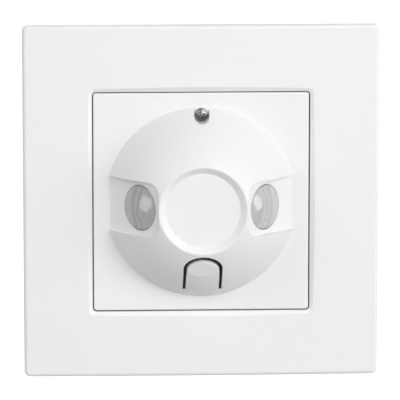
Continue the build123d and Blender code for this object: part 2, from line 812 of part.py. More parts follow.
# Terminal block: a pocket for each cage, a round wire entry behind it and a screw hole below it
terminal_places = GridLocations(terminal_pitch, 0, terminal_count, 1).local_locations
terminal_offsets = [place.position.X for place in terminal_places]
with BuildPart() as terminal_block:
    with BuildSketch(front_plane(-terminal_block_front)):
        with Locations((0, terminal_block_middle)):
            Rectangle(terminal_block_width, terminal_block_height)
    extrude(amount=-terminal_block_depth)
    with BuildSketch(front_plane(-terminal_block_front)):
        with Locations((0, -terminal_row)):
            with GridLocations(terminal_pitch, 0, terminal_count, 1):
                Rectangle(cage_width + 2 * seat_gap, cage_height + 2 * seat_gap)
    extrude(amount=-cage_depth - seat_gap, mode=Mode.SUBTRACT)
    with BuildSketch(front_plane(-housing_depth)):
        with Locations((0, -terminal_row)):
            with GridLocations(terminal_pitch, 0, terminal_count, 1):
                Circle(wire_radius)
    extrude(amount=terminal_block_depth, mode=Mode.SUBTRACT)
    with BuildSketch(side_plane(-housing_height / 2)):
        with Locations((0, cage_middle_depth)):
            with GridLocations(terminal_pitch, 0, terminal_count, 1):
                Circle(terminal_screw_head_radius + terminal_access_clearance)
    extrude(amount=housing_height / 2 - terminal_row, mode=Mode.SUBTRACT)

# Terminal cages: brass, each bored for a wire and threaded for its screw
with BuildPart() as terminal_cages:
    with BuildSketch(front_plane(-terminal_block_front)):
        with Locations((0, -terminal_row)):
            with GridLocations(terminal_pitch, 0, terminal_count, 1):
                Rectangle(cage_width, cage_height)
                Circle(wire_radius, mode=Mode.SUBTRACT)
    extrude(amount=-cage_depth)
    with BuildSketch(side_plane(-terminal_row - cage_height / 2)):
        with Locations((0, cage_middle_depth)):
            with GridLocations(terminal_pitch, 0, terminal_count, 1):
                Circle(terminal_screw_radius + hole_clearance)
    extrude(amount=cage_height / 2, mode=Mode.SUBTRACT)

terminal_screw_seat = terminal_screw_head_height - housing_height / 2
terminal_screws = pan_screws(
    [
        Plane(origin=(offset, cage_middle_depth, terminal_screw_seat), x_dir=(1, 0, 0), z_dir=(0, 0, -1))
        for offset in terminal_offsets
    ],
    terminal_screw_head_radius,
    terminal_screw_head_height,
    terminal_screw_radius,
    -terminal_row - wire_radius - terminal_screw_seat,
)

# Contact links: brass strips from the cages to the power board
with BuildPart() as contact_links:
    with BuildSketch(front_plane(-power_board_back)):
        with Locations((0, cage_height / 2 - link_inset - link_thickness / 2 - terminal_row)):
            with GridLocations(terminal_pitch, 0, terminal_count, 1):
                Rectangle(link_width, link_thickness)
    extrude(amount=power_board_back - terminal_block_front)


def claw(side):
    """A pressed claw: an eye on its pin, an arm, a toothed lip and a ramp for the screw's point."""
    inner = claw_pivot_offset - claw_eye_radius
    outer = inner + claw_thickness
    ramp_end = claw_ramp_start + claw_ramp_run
    heel_end = ramp_end + claw_heel_length
    lip_end = outer + claw_lip_reach
    with BuildPart() as body:
        with BuildSketch(side_plane(-claw_width / 2)) as profile:
            with Locations((claw_pivot_offset, claw_pivot_depth)):
                Circle(claw_eye_radius)
            with BuildLine():
                Polyline(
                    (inner, claw_pivot_depth),
                    (inner, claw_ramp_start),
                    (inner - claw_ramp_shift, ramp_end),
                    (inner - claw_ramp_shift, heel_end),
                    (outer - claw_ramp_shift, heel_end),
                    (outer - claw_ramp_shift, ramp_end),
                    (outer, claw_ramp_start),
                    (lip_end, claw_ramp_start),
                    (lip_end, claw_ramp_start - claw_thickness),
                    (outer, claw_ramp_start - claw_thickness),
                    (outer, claw_pivot_depth),
                    (inner, claw_pivot_depth),
                )
            make_face()
            with Locations((claw_pivot_offset, claw_pivot_depth)):
                Circle(claw_pin_radius + running_clearance, mode=Mode.SUBTRACT)
        extrude(amount=claw_width)
        tooth_pitch = claw_width / claw_tooth_count
        with BuildSketch(front_plane(claw_thickness - claw_ramp_start)):
            with Locations((lip_end, 0)):
                with GridLocations(0, tooth_pitch, 1, claw_tooth_count + 1):
                    Polygon(
                        (0, tooth_pitch / 2),
                        (-claw_tooth_depth, 0),
                        (0, -tooth_pitch / 2),
                        align=None,
                    )
        extrude(amount=-claw_thickness, mode=Mode.SUBTRACT)
        if side < 0:
            mirror(about=Plane.YZ, mode=Mode.REPLACE)
    return body


claw_left = claw(-1)
claw_right = claw(1)

# Claw pins: riveted in the support plate's ears
with BuildPart() as claw_pins:
    pin_length = 2 * (ear_inner + ear_thickness + claw_pin_overhang)
    with BuildSketch(side_plane(-pin_length / 2)):
        with Locations((0, claw_pivot_depth)):
            with GridLocations(2 * claw_pivot_offset, 0, 2, 1):
                Circle(claw_pin_radius)
    extrude(amount=pin_length)


def claw_screw(side):
    """A claw's screw, backed out so that its cone-shaped point just clears the ramp."""
    seat_height = claw_screw_top_height - claw_screw_head_height
    seat = Plane(origin=(side * claw_screw_offset, -seat_height, 0), x_dir=(1, 0, 0), z_dir=(0, -1, 0))
    shank_length = seat_height + claw_screw_tip_depth - claw_screw_cone_length
    screw = pan_screws(
        [seat], claw_screw_head_radius, claw_screw_head_height, claw_screw_radius, shank_length
    )
    with BuildPart() as pointed:
        add(screw.part)
        with BuildSketch(seat.offset(-shank_length)):
            Circle(claw_screw_radius * (1 - tip_chamfer_share))
        with BuildSketch(seat.offset(-shank_length - claw_screw_cone_length)):
            Circle(claw_screw_point_radius)
        loft()
    return pointed


claw_screw_left = claw_screw(-1)
claw_screw_right = claw_screw(1)

# Power board, notched round the housing's bosses
inner_width = housing_width - 2 * housing_wall
inner_height = housing_height - 2 * housing_wall
header_reach = (header_pin_count - 1) * header_pitch
with BuildPart() as power_board:
    with BuildSketch(front_plane(-power_board_depth)) as outline:
        Rectangle(inner_width - 2 * board_clearance, inner_height - 2 * board_clearance)
        chamfer(outline.vertices(), inner_chamfer)
        with GridLocations(housing_screw_spacing_x, housing_screw_spacing_z, 2, 2):
            Circle(housing_boss_radius + board_clearance, mode=Mode.SUBTRACT)
        with Locations(header_place):
            with GridLocations(header_pitch, 0, header_pin_count, 1):
                Circle(header_pin_width, mode=Mode.SUBTRACT)
    extrude(amount=-board_thickness)


def standing_block(place, width, height, depth, edge):
    """A box-shaped component on the back of the power board, with softened edges."""
    with BuildPart() as block:
        with BuildSketch(front_plane(-power_board_back)):
            with Locations(place):
                Rectangle(width, height)
        extrude(amount=-depth)
        fillet(block.edges().filter_by(Axis.Y), edge)
        fillet(block.faces().sort_by(Axis.Y)[-1].edges(), edge)
    return block


def standing_can(place, radius, depth, edge):
    """A round component on the back of the power board, with a softened end."""
    with BuildPart() as can:
        with BuildSketch(front_plane(-power_board_back)):
            with Locations(place):
                Circle(radius)
        extrude(amount=-depth)
        fillet(can.faces().sort_by(Axis.Y)[-1].edges(), edge)
    return can


relay = standing_block(relay_place, relay_width, relay_height, relay_depth, relay_edge)
film_capacitor = standing_block(
    film_capacitor_place,
    film_capacitor_width,
    film_capacitor_height,
    film_capacitor_depth,
    film_capacitor_edge,
)
rectifier = standing_block(
    rectifier_place, rectifier_width, rectifier_height, rectifier_depth, rectifier_edge
)
fuse = standing_can(fuse_place, fuse_radius, fuse_depth, fuse_edge)
electrolytic_capacitor = standing_can(
    electrolytic_place, electrolytic_radius, electrolytic_depth, electrolytic_edge
)
with BuildPart() as beaded_can:
    add(electrolytic_capacitor.part)
    bead_depth = power_board_back + electrolytic_bead_place
    with Locations((electrolytic_place[0], bead_depth, electrolytic_place[1])):
        Torus(electrolytic_radius, electrolytic_bead_depth, rotation=(90, 0, 0), mode=Mode.SUBTRACT)
electrolytic_capacitor = beaded_can

# Choke: a bobbin whose winding fills its waist
with BuildPart() as choke:
    for start, end, radius in (
        (0, choke_flange, choke_radius),
        (choke_flange, choke_depth - choke_flange, choke_radius - choke_waist),
        (choke_depth - choke_flange, choke_depth, choke_radius),
    ):
        with BuildSketch(front_plane(-power_board_back - start)):
            with Locations(choke_place):
                Circle(radius)
        extrude(amount=start - end)

# Varistor: a disc on edge, with its coating running down to the board
with BuildPart() as varistor:
    with BuildSketch(side_plane(varistor_place[1] - varistor_thickness / 2)):
        with Locations((varistor_place[0], power_board_back + varistor_radius)):
            Circle(varistor_radius)
        with Locations((varistor_place[0], power_board_back + varistor_radius / 2)):
            Rectangle(varistor_radius, varistor_radius)
    extrude(amount=varistor_thickness)
    fillet(varistor.edges().filter_by(GeomType.CIRCLE), varistor_edge)

# Sensor board, cut away round the cover screw's post and the claw screws
with BuildPart() as sensor_board:
    with BuildSketch(front_plane(sensor_board_height)):
        RectangleRounded(sensor_board_width, sensor_board_length, sensor_board_corner)
        with Locations((0, cover_screw_offset)):
            Circle(screw_post_radius + screw_bay_clearance, mode=Mode.SUBTRACT)
        with GridLocations(2 * claw_screw_offset, 0, 2, 1):
            Rectangle(screw_bay, screw_bay, mode=Mode.SUBTRACT)
        with GridLocations(board_screw_spacing_x, board_screw_spacing_z, 2, 2):
            Circle(board_screw_radius + hole_clearance, mode=Mode.SUBTRACT)
        with Locations(header_place):
            with GridLocations(header_pitch, 0, header_pin_count, 1):
                Circle(header_pin_width, mode=Mode.SUBTRACT)
    extrude(amount=sensor_board_thickness)

# Header between the two boards
with BuildPart() as header_pins:
    with BuildSketch(front_plane(-power_board_back)):
        with Locations(header_place):
            with GridLocations(header_pitch, 0, header_pin_count, 1):
                Rectangle(header_pin_width, header_pin_width)
    extrude(amount=power_board_back + sensor_board_top + header_pin_overhang)
with BuildPart() as header_body:
    with BuildSketch(front_plane(-power_board_depth)):
        with Locations(header_place):
            Rectangle(header_reach + header_body_width, header_body_width)
            with GridLocations(header_pitch, 0, header_pin_count, 1):
                Circle(header_pin_width, mode=Mode.SUBTRACT)
    extrude(amount=header_body_depth)


def pir_plane(side):
    """The foot of the motion sensor behind that side's lens, facing the lens."""
    return lens_plane(side).offset(-pir_distance)


# Sensor cradle: a black saddle that aims the two motion sensors at their lenses
pir_foot_offset = lens_offset - pir_distance * tilt_sine
pir_foot_height = lens_height - pir_distance * tilt_cosine
slope = tilt_sine / tilt_cosine


def saddle_outline(wall):
    """The saddle's section, or its hollow's, from the sensor board up to its flat top."""
    drop = wall / tilt_cosine
    foot = pir_foot_offset + (pir_foot_height - drop - sensor_board_top) / slope
    top_half = cradle_top_half
    top = pir_foot_height - drop + (pir_foot_offset - top_half) * slope
    return [
        (-foot, -sensor_board_top),
        (foot, -sensor_board_top),
        (top_half, -top),
        (-top_half, -top),
    ]


with BuildPart() as sensor_cradle:
    with BuildSketch(side_plane(-cradle_width / 2)):
        Polygon(*saddle_outline(0), align=None)
    extrude(amount=cradle_width)
    with BuildSketch(side_plane(cradle_wall - cradle_width / 2)):
        Polygon(*saddle_outline(cradle_wall), align=None)
    extrude(amount=cradle_width - 2 * cradle_wall, mode=Mode.SUBTRACT)
    for side in (-1, 1):
        with BuildSketch(pir_plane(side)):
            Circle(pin_window_radius)
        extrude(amount=-cradle_wall, mode=Mode.SUBTRACT)


def pir_sensor(side):
    """A motion sensor's metal can on its flange, with an opening for the window."""
    foot = pir_plane(side)
    with BuildPart() as can:
        with BuildSketch(foot):
            Circle(pir_flange_radius)
        extrude(amount=pir_flange_thickness)
        with BuildSketch(foot):
            Circle(pir_can_radius)
        extrude(amount=pir_can_length)
        fillet(can.edges().group_by(Axis((0, 0, 0), foot.z_dir))[-1], pir_can_edge)
        with BuildSketch(foot.offset(pir_can_length)):
            Rectangle(pir_window_height, pir_window_width)
        extrude(amount=-pir_window_thickness, mode=Mode.SUBTRACT)
    return can


def pir_window(side):
    """The dark filter window in a motion sensor's can."""
    with BuildPart() as window:
        with BuildSketch(pir_plane(side).offset(pir_can_length)):
            Rectangle(pir_window_height - 2 * hole_clearance, pir_window_width - 2 * hole_clearance)
        extrude(amount=-pir_window_thickness)
    return window


pir_sensor_left = pir_sensor(-1)
pir_sensor_right = pir_sensor(1)
pir_window_left = pir_window(-1)
pir_window_right = pir_window(1)
with BuildPart() as pir_pins:
    for side in (-1, 1):
        with BuildSketch(pir_plane(side)):
            with PolarLocations(pir_pin_circle, pir_pin_count, angular_range=180):
                Circle(pir_pin_radius)
        extrude(amount=-pir_pin_length)

# Controller chip on the back of the sensor board
with BuildPart() as controller_chip:
    with BuildSketch(front_plane(sensor_board_height)):
        Rectangle(chip_width, chip_height)
    extrude(amount=-chip_thickness)
    chamfer(controller_chip.faces().sort_by(Axis.Y)[-1].edges(), chip_edge)

# Push switch: its plunger stands just behind the push key's pusher
switch_top_height = sensor_board_top + switch_rise
plunger_foot_height = switch_top_height - switch_bore_depth + plunger_travel + hole_clearance
with BuildPart() as switch_body:
    with BuildSketch(front_plane(sensor_board_top)):
        with Locations((0, -pusher_offset)):
            Rectangle(switch_size, switch_size)
    extrude(amount=switch_rise)
    with BuildSketch(front_plane(switch_top_height)):
        with Locations((0, -pusher_offset)):
            Circle(plunger_radius + running_clearance)
    extrude(amount=-switch_bore_depth, mode=Mode.SUBTRACT)
with BuildPart() as switch_plunger:
    with BuildSketch(front_plane(plunger_foot_height)):
        with Locations((0, -pusher_offset)):
            Circle(plunger_radius)
    extrude(amount=plunger_top_height - plunger_foot_height)
    fillet(switch_plunger.faces().sort_by(Axis.Y)[0].edges(), plunger_edge)


def trimmer_body(side):
    """The square body of a trimmer, bored for its rotor."""
    top_height = sensor_board_top + trimmer_rise
    with BuildPart() as body:
        with BuildSketch(front_plane(sensor_board_top)):
            with Locations((side * trimmer_place[0], trimmer_place[1])):
                Rectangle(trimmer_size, trimmer_size)
        extrude(amount=trimmer_rise)
        with BuildSketch(front_plane(top_height)):
            with Locations((side * trimmer_place[0], trimmer_place[1])):
                Circle(rotor_radius + running_clearance)
        extrude(amount=-rotor_sink - hole_clearance, mode=Mode.SUBTRACT)
    return body


def trimmer_rotor(side):
    """The slotted rotor that a screwdriver turns."""
    top_height = sensor_board_top + trimmer_rise + rotor_rise
    with BuildPart() as rotor:
        with BuildSketch(front_plane(top_height)):
            with Locations((side * trimmer_place[0], trimmer_place[1])):
                Circle(rotor_radius)
        extrude(amount=-rotor_rise - rotor_sink)
        fillet(rotor.faces().sort_by(Axis.Y)[0].edges(), rotor_edge)
        with BuildSketch(front_plane(top_height)):
            with Locations((side * trimmer_place[0], trimmer_place[1])):
                Rectangle(2 * rotor_radius, rotor_slot_width)
        extrude(amount=-rotor_slot_depth, mode=Mode.SUBTRACT)
    return rotor


trimmer_time_body = trimmer_body(-1)
trimmer_time_rotor = trimmer_rotor(-1)
trimmer_light_body = trimmer_body(1)
trimmer_light_rotor = trimmer_rotor(1)

# Status lamp: a domed cylinder on a rim
with BuildPart() as status_led:
    with BuildSketch(front_plane(sensor_board_top)):
        with Locations(led_place):
            Circle(led_radius + led_rim)
    extrude(amount=led_rim_rise)
    with BuildSketch(front_plane(sensor_board_top)):
        with Locations(led_place):
            Circle(led_radius)
    extrude(amount=led_rise)
    with Locations((led_place[0], -sensor_board_top - led_rise, led_place[1])):
        Sphere(led_radius)

# Light sensor: a low disc with one flat side
with BuildPart() as light_sensor:
    with BuildSketch(front_plane(sensor_board_top)):
        with Locations(light_sensor_place):
            Circle(light_sensor_radius)
        flat_middle = 2 * light_sensor_radius - light_sensor_flat
        with Locations((light_sensor_place[0] + flat_middle, light_sensor_place[1])):
            Rectangle(2 * light_sensor_radius, 2 * light_sensor_radius, mode=Mode.SUBTRACT)
    extrude(amount=light_sensor_rise)

pieces = {
    "outer_frame": outer_frame,
    "insert_plate": insert_plate,
    "sensor_dome": sensor_dome,
    "push_key": push_key,
    "lens_left": lens_left,
    "lens_right": lens_right,
    "cover_screw": cover_screw,
    "support_plate": support_plate,
    "carrier": carrier,
    "housing": housing,
    "housing_screws": housing_screws,
    "terminal_block": terminal_block,
    "terminal_cages": terminal_cages,
    "terminal_screws": terminal_screws,
    "contact_links": contact_links,
    "claw_left": claw_left,
    "claw_right": claw_right,
    "claw_screw_left": claw_screw_left,
    "claw_screw_right": claw_screw_right,
    "claw_pins": claw_pins,
    "power_board": power_board,
    "relay": relay,
    "film_capacitor": film_capacitor,
    "electrolytic_capacitor": electrolytic_capacitor,
    "fuse": fuse,
    "choke": choke,
    "varistor": varistor,
    "rectifier": rectifier,
    "sensor_board": sensor_board,
    "board_screws": board_screws,
    "header_pins": header_pins,
    "header_body": header_body,
    "sensor_cradle": sensor_cradle,
    "pir_sensor_left": pir_sensor_left,
    "pir_sensor_right": pir_sensor_right,
    "pir_window_left": pir_window_left,
    "pir_window_right": pir_window_right,
    "pir_pins": pir_pins,
    "controller_chip": controller_chip,
    "switch_body": switch_body,
    "switch_plunger": switch_plunger,
    "trimmer_time_body": trimmer_time_body,
    "trimmer_time_rotor": trimmer_time_rotor,
    "trimmer_light_body": trimmer_light_body,
    "trimmer_light_rotor": trimmer_light_rotor,
    "status_led": status_led,
    "light_sensor": light_sensor,
}
os.makedirs("parts", exist_ok=True)
for name, piece in pieces.items():
    piece.part.label = name
    export_step(piece.part, f"parts/{name}.step")
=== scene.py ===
"""Looks for a flush motion sensor light switch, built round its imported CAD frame.

Lengths are in metres in the CAD's own frame: +X to the right, +Y into the wall, +Z up.
"""

import json
import logging
import math
from dataclasses import dataclass
from enum import Enum
from functools import cache
from typing import Iterable, Sequence

import bmesh
import bpy
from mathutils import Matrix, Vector

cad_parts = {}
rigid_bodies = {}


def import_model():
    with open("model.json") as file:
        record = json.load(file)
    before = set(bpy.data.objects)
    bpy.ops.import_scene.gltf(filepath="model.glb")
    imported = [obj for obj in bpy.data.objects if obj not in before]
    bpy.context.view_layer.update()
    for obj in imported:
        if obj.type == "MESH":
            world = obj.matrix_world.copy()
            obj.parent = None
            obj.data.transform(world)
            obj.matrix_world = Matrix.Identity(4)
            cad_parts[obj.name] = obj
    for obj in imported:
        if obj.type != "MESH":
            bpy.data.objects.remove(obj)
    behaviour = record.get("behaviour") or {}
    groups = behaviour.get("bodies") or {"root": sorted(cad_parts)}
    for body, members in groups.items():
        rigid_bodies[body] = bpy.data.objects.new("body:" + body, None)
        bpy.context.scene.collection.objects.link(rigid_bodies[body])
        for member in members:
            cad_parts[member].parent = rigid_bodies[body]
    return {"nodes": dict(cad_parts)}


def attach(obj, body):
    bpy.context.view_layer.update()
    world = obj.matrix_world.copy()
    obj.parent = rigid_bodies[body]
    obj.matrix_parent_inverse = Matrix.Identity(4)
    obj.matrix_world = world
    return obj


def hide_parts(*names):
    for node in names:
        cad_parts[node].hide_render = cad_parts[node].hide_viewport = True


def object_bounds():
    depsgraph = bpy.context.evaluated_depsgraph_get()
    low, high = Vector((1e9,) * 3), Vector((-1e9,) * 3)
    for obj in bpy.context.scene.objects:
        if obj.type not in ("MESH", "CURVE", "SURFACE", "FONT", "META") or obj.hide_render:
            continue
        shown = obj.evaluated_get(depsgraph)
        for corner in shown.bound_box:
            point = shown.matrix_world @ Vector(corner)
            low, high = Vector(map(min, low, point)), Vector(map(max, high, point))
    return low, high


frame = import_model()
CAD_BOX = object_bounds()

LOG = logging.getLogger("light_switch")
MM = 0.001
BODY = "switch"
WHITE = (1.0, 1.0, 1.0, 1.0)

Pair = tuple[float, float]
Point = tuple[float, float, float]
Color = tuple[float, float, float]
Faces = list[tuple[int, ...]]
Sockets = dict[str, tuple[str, object]]
Node = bpy.types.Node
Socket = bpy.types.NodeSocket
Tree = bpy.types.NodeTree
Piece = bpy.types.Object

# Most of a noise texture's values lie in this range.
NOISE_RANGE = (0.3, 0.7)
# The scale of the grain's cloudy part beside the fine part's, and how much the fine part dulls the gloss.
CLOUD_SHARE, FINE_DULLING = 0.03, 0.04
# How far wear looks for an edge, the cosines of the surface's turn between which it fades out, and the
# values of a noise between which it breaks off.
WEAR_REACH, WEAR_TURN, WEAR_BREAKS = 0.00025, (0.82, 0.99), (0.35, 0.6)
# The angle between two faces of a repeated shape from which their edge is sharp.
REPEAT_CREASE = math.radians(40)


class Side(Enum):
    """Which side of the dome a paired piece stands on, seen from the room."""

    LEFT = -1
    RIGHT = 1


class Facing(Enum):
    """Which way a piece that is made along +Z gets turned."""

    ROOM = (math.pi / 2, 0.0, 0.0)
    WALL = (-math.pi / 2, 0.0, 0.0)


def opaque(color: Color) -> tuple[float, float, float, float]:
    """The colour with full alpha."""
    return (*color, 1.0)


def emptied(owner: bpy.types.Material | bpy.types.World) -> Tree:
    """Gives a material or a world an empty node tree.

    Args:
        owner: The material or world.

    Returns:
        Its tree.
    """
    owner.use_nodes = True
    owner.node_tree.nodes.clear()
    return owner.node_tree


class Nodes:
    """Adds and links the nodes of one tree."""

    prefix: str = "ShaderNode"

    def __init__(self, tree: Tree) -> None:
        """Keeps the tree that the nodes go into."""
        self.tree = tree

    def put(self, socket: Socket, value: object) -> None:
        """Feeds one input.

        Args:
            socket: The input.
            value: The output that it gets linked to, or its plain value.
        """
        if isinstance(value, Socket):
            self.tree.links.new(value, socket)
        else:
            socket.default_value = value

    def feed(self, node: Node, **inputs: object) -> Node:
        """Feeds a node's inputs.

        Args:
            node: The node.
            inputs: Socket names, with spaces as underscores, and what goes into each.

        Returns:
            The node.
        """
        for name, value in inputs.items():
            self.put(node.inputs[name.replace("_", " ")], value)
        return node

    def add(self, kind: str, **inputs: object) -> Node:
        """Adds a node of this kind, named without its prefix, and feeds its inputs."""
        return self.feed(self.tree.nodes.new(self.prefix + kind), **inputs)

    def math(self, operation: str, first: object, second: object = 0.0) -> Socket:
        """Adds a Math node.

        Args:
            operation: What it does.
            first: Its first input.
            second: Its second input.

        Returns:
            Its result.
        """
        node = self.tree.nodes.new("ShaderNodeMath")
        node.operation = operation
        self.put(node.inputs[0], first)
        self.put(node.inputs[1], second)
        return node.outputs[0]

    def length(self, first: object, second: object) -> Socket:
        """Measures a flat vector.

        Args:
            first: Its first part.
            second: Its second part.

        Returns:
            Its length.
        """
        flat = self.add("CombineXYZ", X=first, Y=second)
        node = self.add("VectorMath")
        node.operation = "LENGTH"
        self.put(node.inputs[0], flat.outputs["Vector"])
        return node.outputs["Value"]

    def blend(self, factor: object, first: object, second: object) -> Socket:
        """Mixes two colours.

        Args:
            factor: How much of the second one there is.
            first: The first colour.
            second: The second colour.

        Returns:
            The mixture.
        """
        node = self.add("Mix")
        node.data_type = "RGBA"
        for index, value in ((0, factor), (6, first), (7, second)):
            self.put(node.inputs[index], value)
        return node.outputs[2]

    def spread(self, value: object, low: float, high: float, to_low: float, to_high: float) -> Socket:
        """Maps a range of values smoothly to another one.

        Args:
            value: What is mapped.
            low: Where its range starts.
            high: Where its range ends.
            to_low: What the start becomes.
            to_high: What the end becomes.

        Returns:
            The mapped value.
        """
        node = self.add("MapRange", Value=value, From_Min=low, From_Max=high, To_Min=to_low, To_Max=to_high)
        node.interpolation_type = "SMOOTHSTEP"
        return node.outputs["Result"]

    def noise(self, vector: object, scale: object, detail: float = 2.0) -> Socket:
        """The value of a noise texture."""
        return self.add("TexNoise", Vector=vector, Scale=scale, Detail=detail).outputs["Fac"]


class Group(Nodes):
    """A node group with named sockets."""

    def __init__(self, name: str, inputs: Sockets, outputs: Sockets, kind: str = "ShaderNodeTree") -> None:
        """Makes the group and its sockets.

        Args:
            name: The group's name.
            inputs: Each input's name with its socket type and default value.
            outputs: The same for each output.
            kind: The type of its tree.
        """
        super().__init__(bpy.data.node_groups.new(name, kind))
        self.ids: dict[str, str] = {}
        for way, sockets in (("INPUT", inputs), ("OUTPUT", outputs)):
            for label, (family, value) in sockets.items():
                made = self.tree.interface.new_socket(label, in_out=way, socket_type="NodeSocket" + family)
                self.ids[label] = made.identifier
                if value is not None:
                    made.default_value = value
        self.source = self.tree.nodes.new("NodeGroupInput")
        self.result = self.tree.nodes.new("NodeGroupOutput")

    def given(self, name: str) -> Socket:
        """The group's own input of that name."""
        return self.source.outputs[name]


@cache
def grain_group() -> Tree:
    """Makes the fine texture that a mould leaves.

    Returns:
        A group with a height for bump, and a mask that varies the gloss.
    """
    inputs = {"Vector": ("Vector", None), "Scale": ("Float", 6000.0), "Spread": ("Float", 0.1)}
    group = Group("mould_grain", inputs, {"Height": ("Float", None), "Gloss": ("Float", None)})
    place, scale = group.given("Vector"), group.given("Scale")
    fine = group.noise(place, scale, 3.0)
    wide = group.noise(place, group.math("MULTIPLY", scale, CLOUD_SHARE))
    swing = group.math("MULTIPLY", group.math("SUBTRACT", wide, 0.5), group.given("Spread"))
    gloss = group.math("ADD", swing, group.math("MULTIPLY", fine, FINE_DULLING))
    group.feed(group.result, Height=fine, Gloss=gloss)
    return group.tree


@cache
def mottle_group() -> Tree:
    """Makes slow changes of tone over a surface, as melt flow, plating or age gives it.

    Returns:
        A group with the changed colour.
    """
    inputs = {"Vector": ("Vector", None), "Color": ("Color", (0.8, 0.8, 0.8, 1.0))}
    inputs |= {"Scale": ("Float", 60.0), "Amount": ("Float", 0.02)}
    group = Group("tone_mottle", inputs, {"Color": ("Color", None)})
    slow = group.noise(group.given("Vector"), group.given("Scale"), 4.0)
    level = group.math("SUBTRACT", 1.0, group.math("MULTIPLY", slow, group.given("Amount")))
    scaled = group.add("VectorMath")
    scaled.operation = "SCALE"
    group.put(scaled.inputs[0], group.given("Color"))
    group.feed(scaled, Scale=level)
    group.feed(group.result, Color=scaled.outputs[0])
    return group.tree


@cache
def wear_group() -> Tree:
    """Makes a mask that is 1 along sharp edges, broken up as wear is.

    Returns:
        A group with the mask.
    """
    inputs = {"Vector": ("Vector", None), "Amount": ("Float", 1.0), "Scale": ("Float", 900.0)}
    group = Group("edge_wear", inputs, {"Mask": ("Float", None)})
    bevel = group.add("Bevel", Radius=WEAR_REACH)
    bevel.samples = 4
    dot = group.add("VectorMath")
    dot.operation = "DOT_PRODUCT"
    group.put(dot.inputs[0], bevel.outputs["Normal"])
    group.put(dot.inputs[1], group.add("NewGeometry").outputs["Normal"])
    edge = group.spread(dot.outputs["Value"], *WEAR_TURN, 1.0, 0.0)
    breaks = group.spread(group.noise(group.given("Vector"), group.given("Scale")), *WEAR_BREAKS, 0.0, 1.0)
    mask = group.math("MULTIPLY", group.math("MULTIPLY", edge, breaks), group.given("Amount"))
    group.feed(group.result, Mask=mask)
    return group.tree


class Paint(Nodes):
    """The nodes of one material, with its shader and each point's place on the piece."""

    def __init__(self, tree: Tree, roughness: float) -> None:
        """Adds the shader and the place.

        Args:
            tree: The material's empty tree.
            roughness: How rough the shader is where nothing varies it.
        """
        super().__init__(tree)
        self.place = self.add("TexCoord").outputs["Object"]
        self.shader = self.add("BsdfPrincipled", Roughness=roughness)
        self.add("OutputMaterial", Surface=self.shader.outputs["BSDF"])

    def set(self, **inputs: object) -> None:
        """Feeds the shader's inputs."""
        self.feed(self.shader, **inputs)

    def use(self, tree: Tree, **inputs: object) -> Node:
        """Places a node group with its own values.

        Args:
            tree: The group.
            inputs: What goes into its inputs.

        Returns:
            The group's node.
        """
        node = self.add("Group")
        node.node_tree = tree
        return self.feed(node, **inputs)

    def bump(self, height: Socket, distance: float) -> None:
        """Raises the shader's surface by this height, over this distance."""
        bump = self.add("Bump", Strength=1.0, Distance=distance, Height=height)
        self.set(Normal=bump.outputs["Normal"])

    def grain(self, scale: float, height: float, swing: float, roughness: float) -> None:
        """Adds the mould's fine grain to the shader.

        Args:
            scale: How fine the grain is.
            height: How high it stands.
            swing: How much the gloss varies.
            roughness: How rough the finish is.
        """
        grain = self.use(grain_group(), Vector=self.place, Scale=scale, Spread=swing)
        self.bump(grain.outputs["Height"], height)
        self.set(Roughness=self.math("ADD", grain.outputs["Gloss"], roughness))

    def mottled(self, color: object, scale: float, amount: float, place: Socket | None = None) -> Socket:
        """The colour with slow changes of tone, at the point's own place or at a drawn-out one."""
        inputs = {"Vector": place or self.place, "Color": color, "Scale": scale, "Amount": amount}
        return self.use(mottle_group(), **inputs).outputs["Color"]

    def worn(self, color: object, amount: float, bare: Color) -> Socket:
        """The colour with this much of a bare one along the edges."""
        mask = self.use(wear_group(), Vector=self.place, Amount=amount)
        return self.blend(mask.outputs["Mask"], color, opaque(bare))


@dataclass(frozen=True)
class Finish:
    """What every finish has: its name, its colour and how rough it is."""

    name: str
    color: Color
    roughness: float

    @cache
    def material(self) -> bpy.types.Material:
        """Makes the finish's Blender material when it is first asked for.

        Returns:
            The material.
        """
        made = bpy.data.materials.new(self.name)
        made.diffuse_color = opaque(self.color)
        self.dress(Paint(emptied(made), self.roughness))
        return made

    def dress(self, paint: Paint) -> None:
        """Adds what makes this finish."""
        raise NotImplementedError


@dataclass(frozen=True)
class MouldedPlastic(Finish):
    """Injection moulded plastic with a fine grain and faint flow marks."""

    grain_scale: float = 7000.0
    grain_height: float = 0.000006
    gloss_swing: float = 0.08
    flow_scale: float = 45.0
    flow_amount: float = 0.012
    specular: float = 0.5
    wear: float = 0.0
    wear_color: Color = (0.95, 0.95, 0.95)

    def dress(self, paint: Paint) -> None:
        """Adds grain, flow marks and, where it has any, wear along the edges.

        Args:
            paint: The material's nodes.
        """
        color = paint.mottled(opaque(self.color), self.flow_scale, self.flow_amount)
        if self.wear:
            color = paint.worn(color, self.wear, self.wear_color)
        paint.set(Base_Color=color, Specular_IOR_Level=self.specular)
        paint.grain(self.grain_scale, self.grain_height, self.gloss_swing, self.roughness)


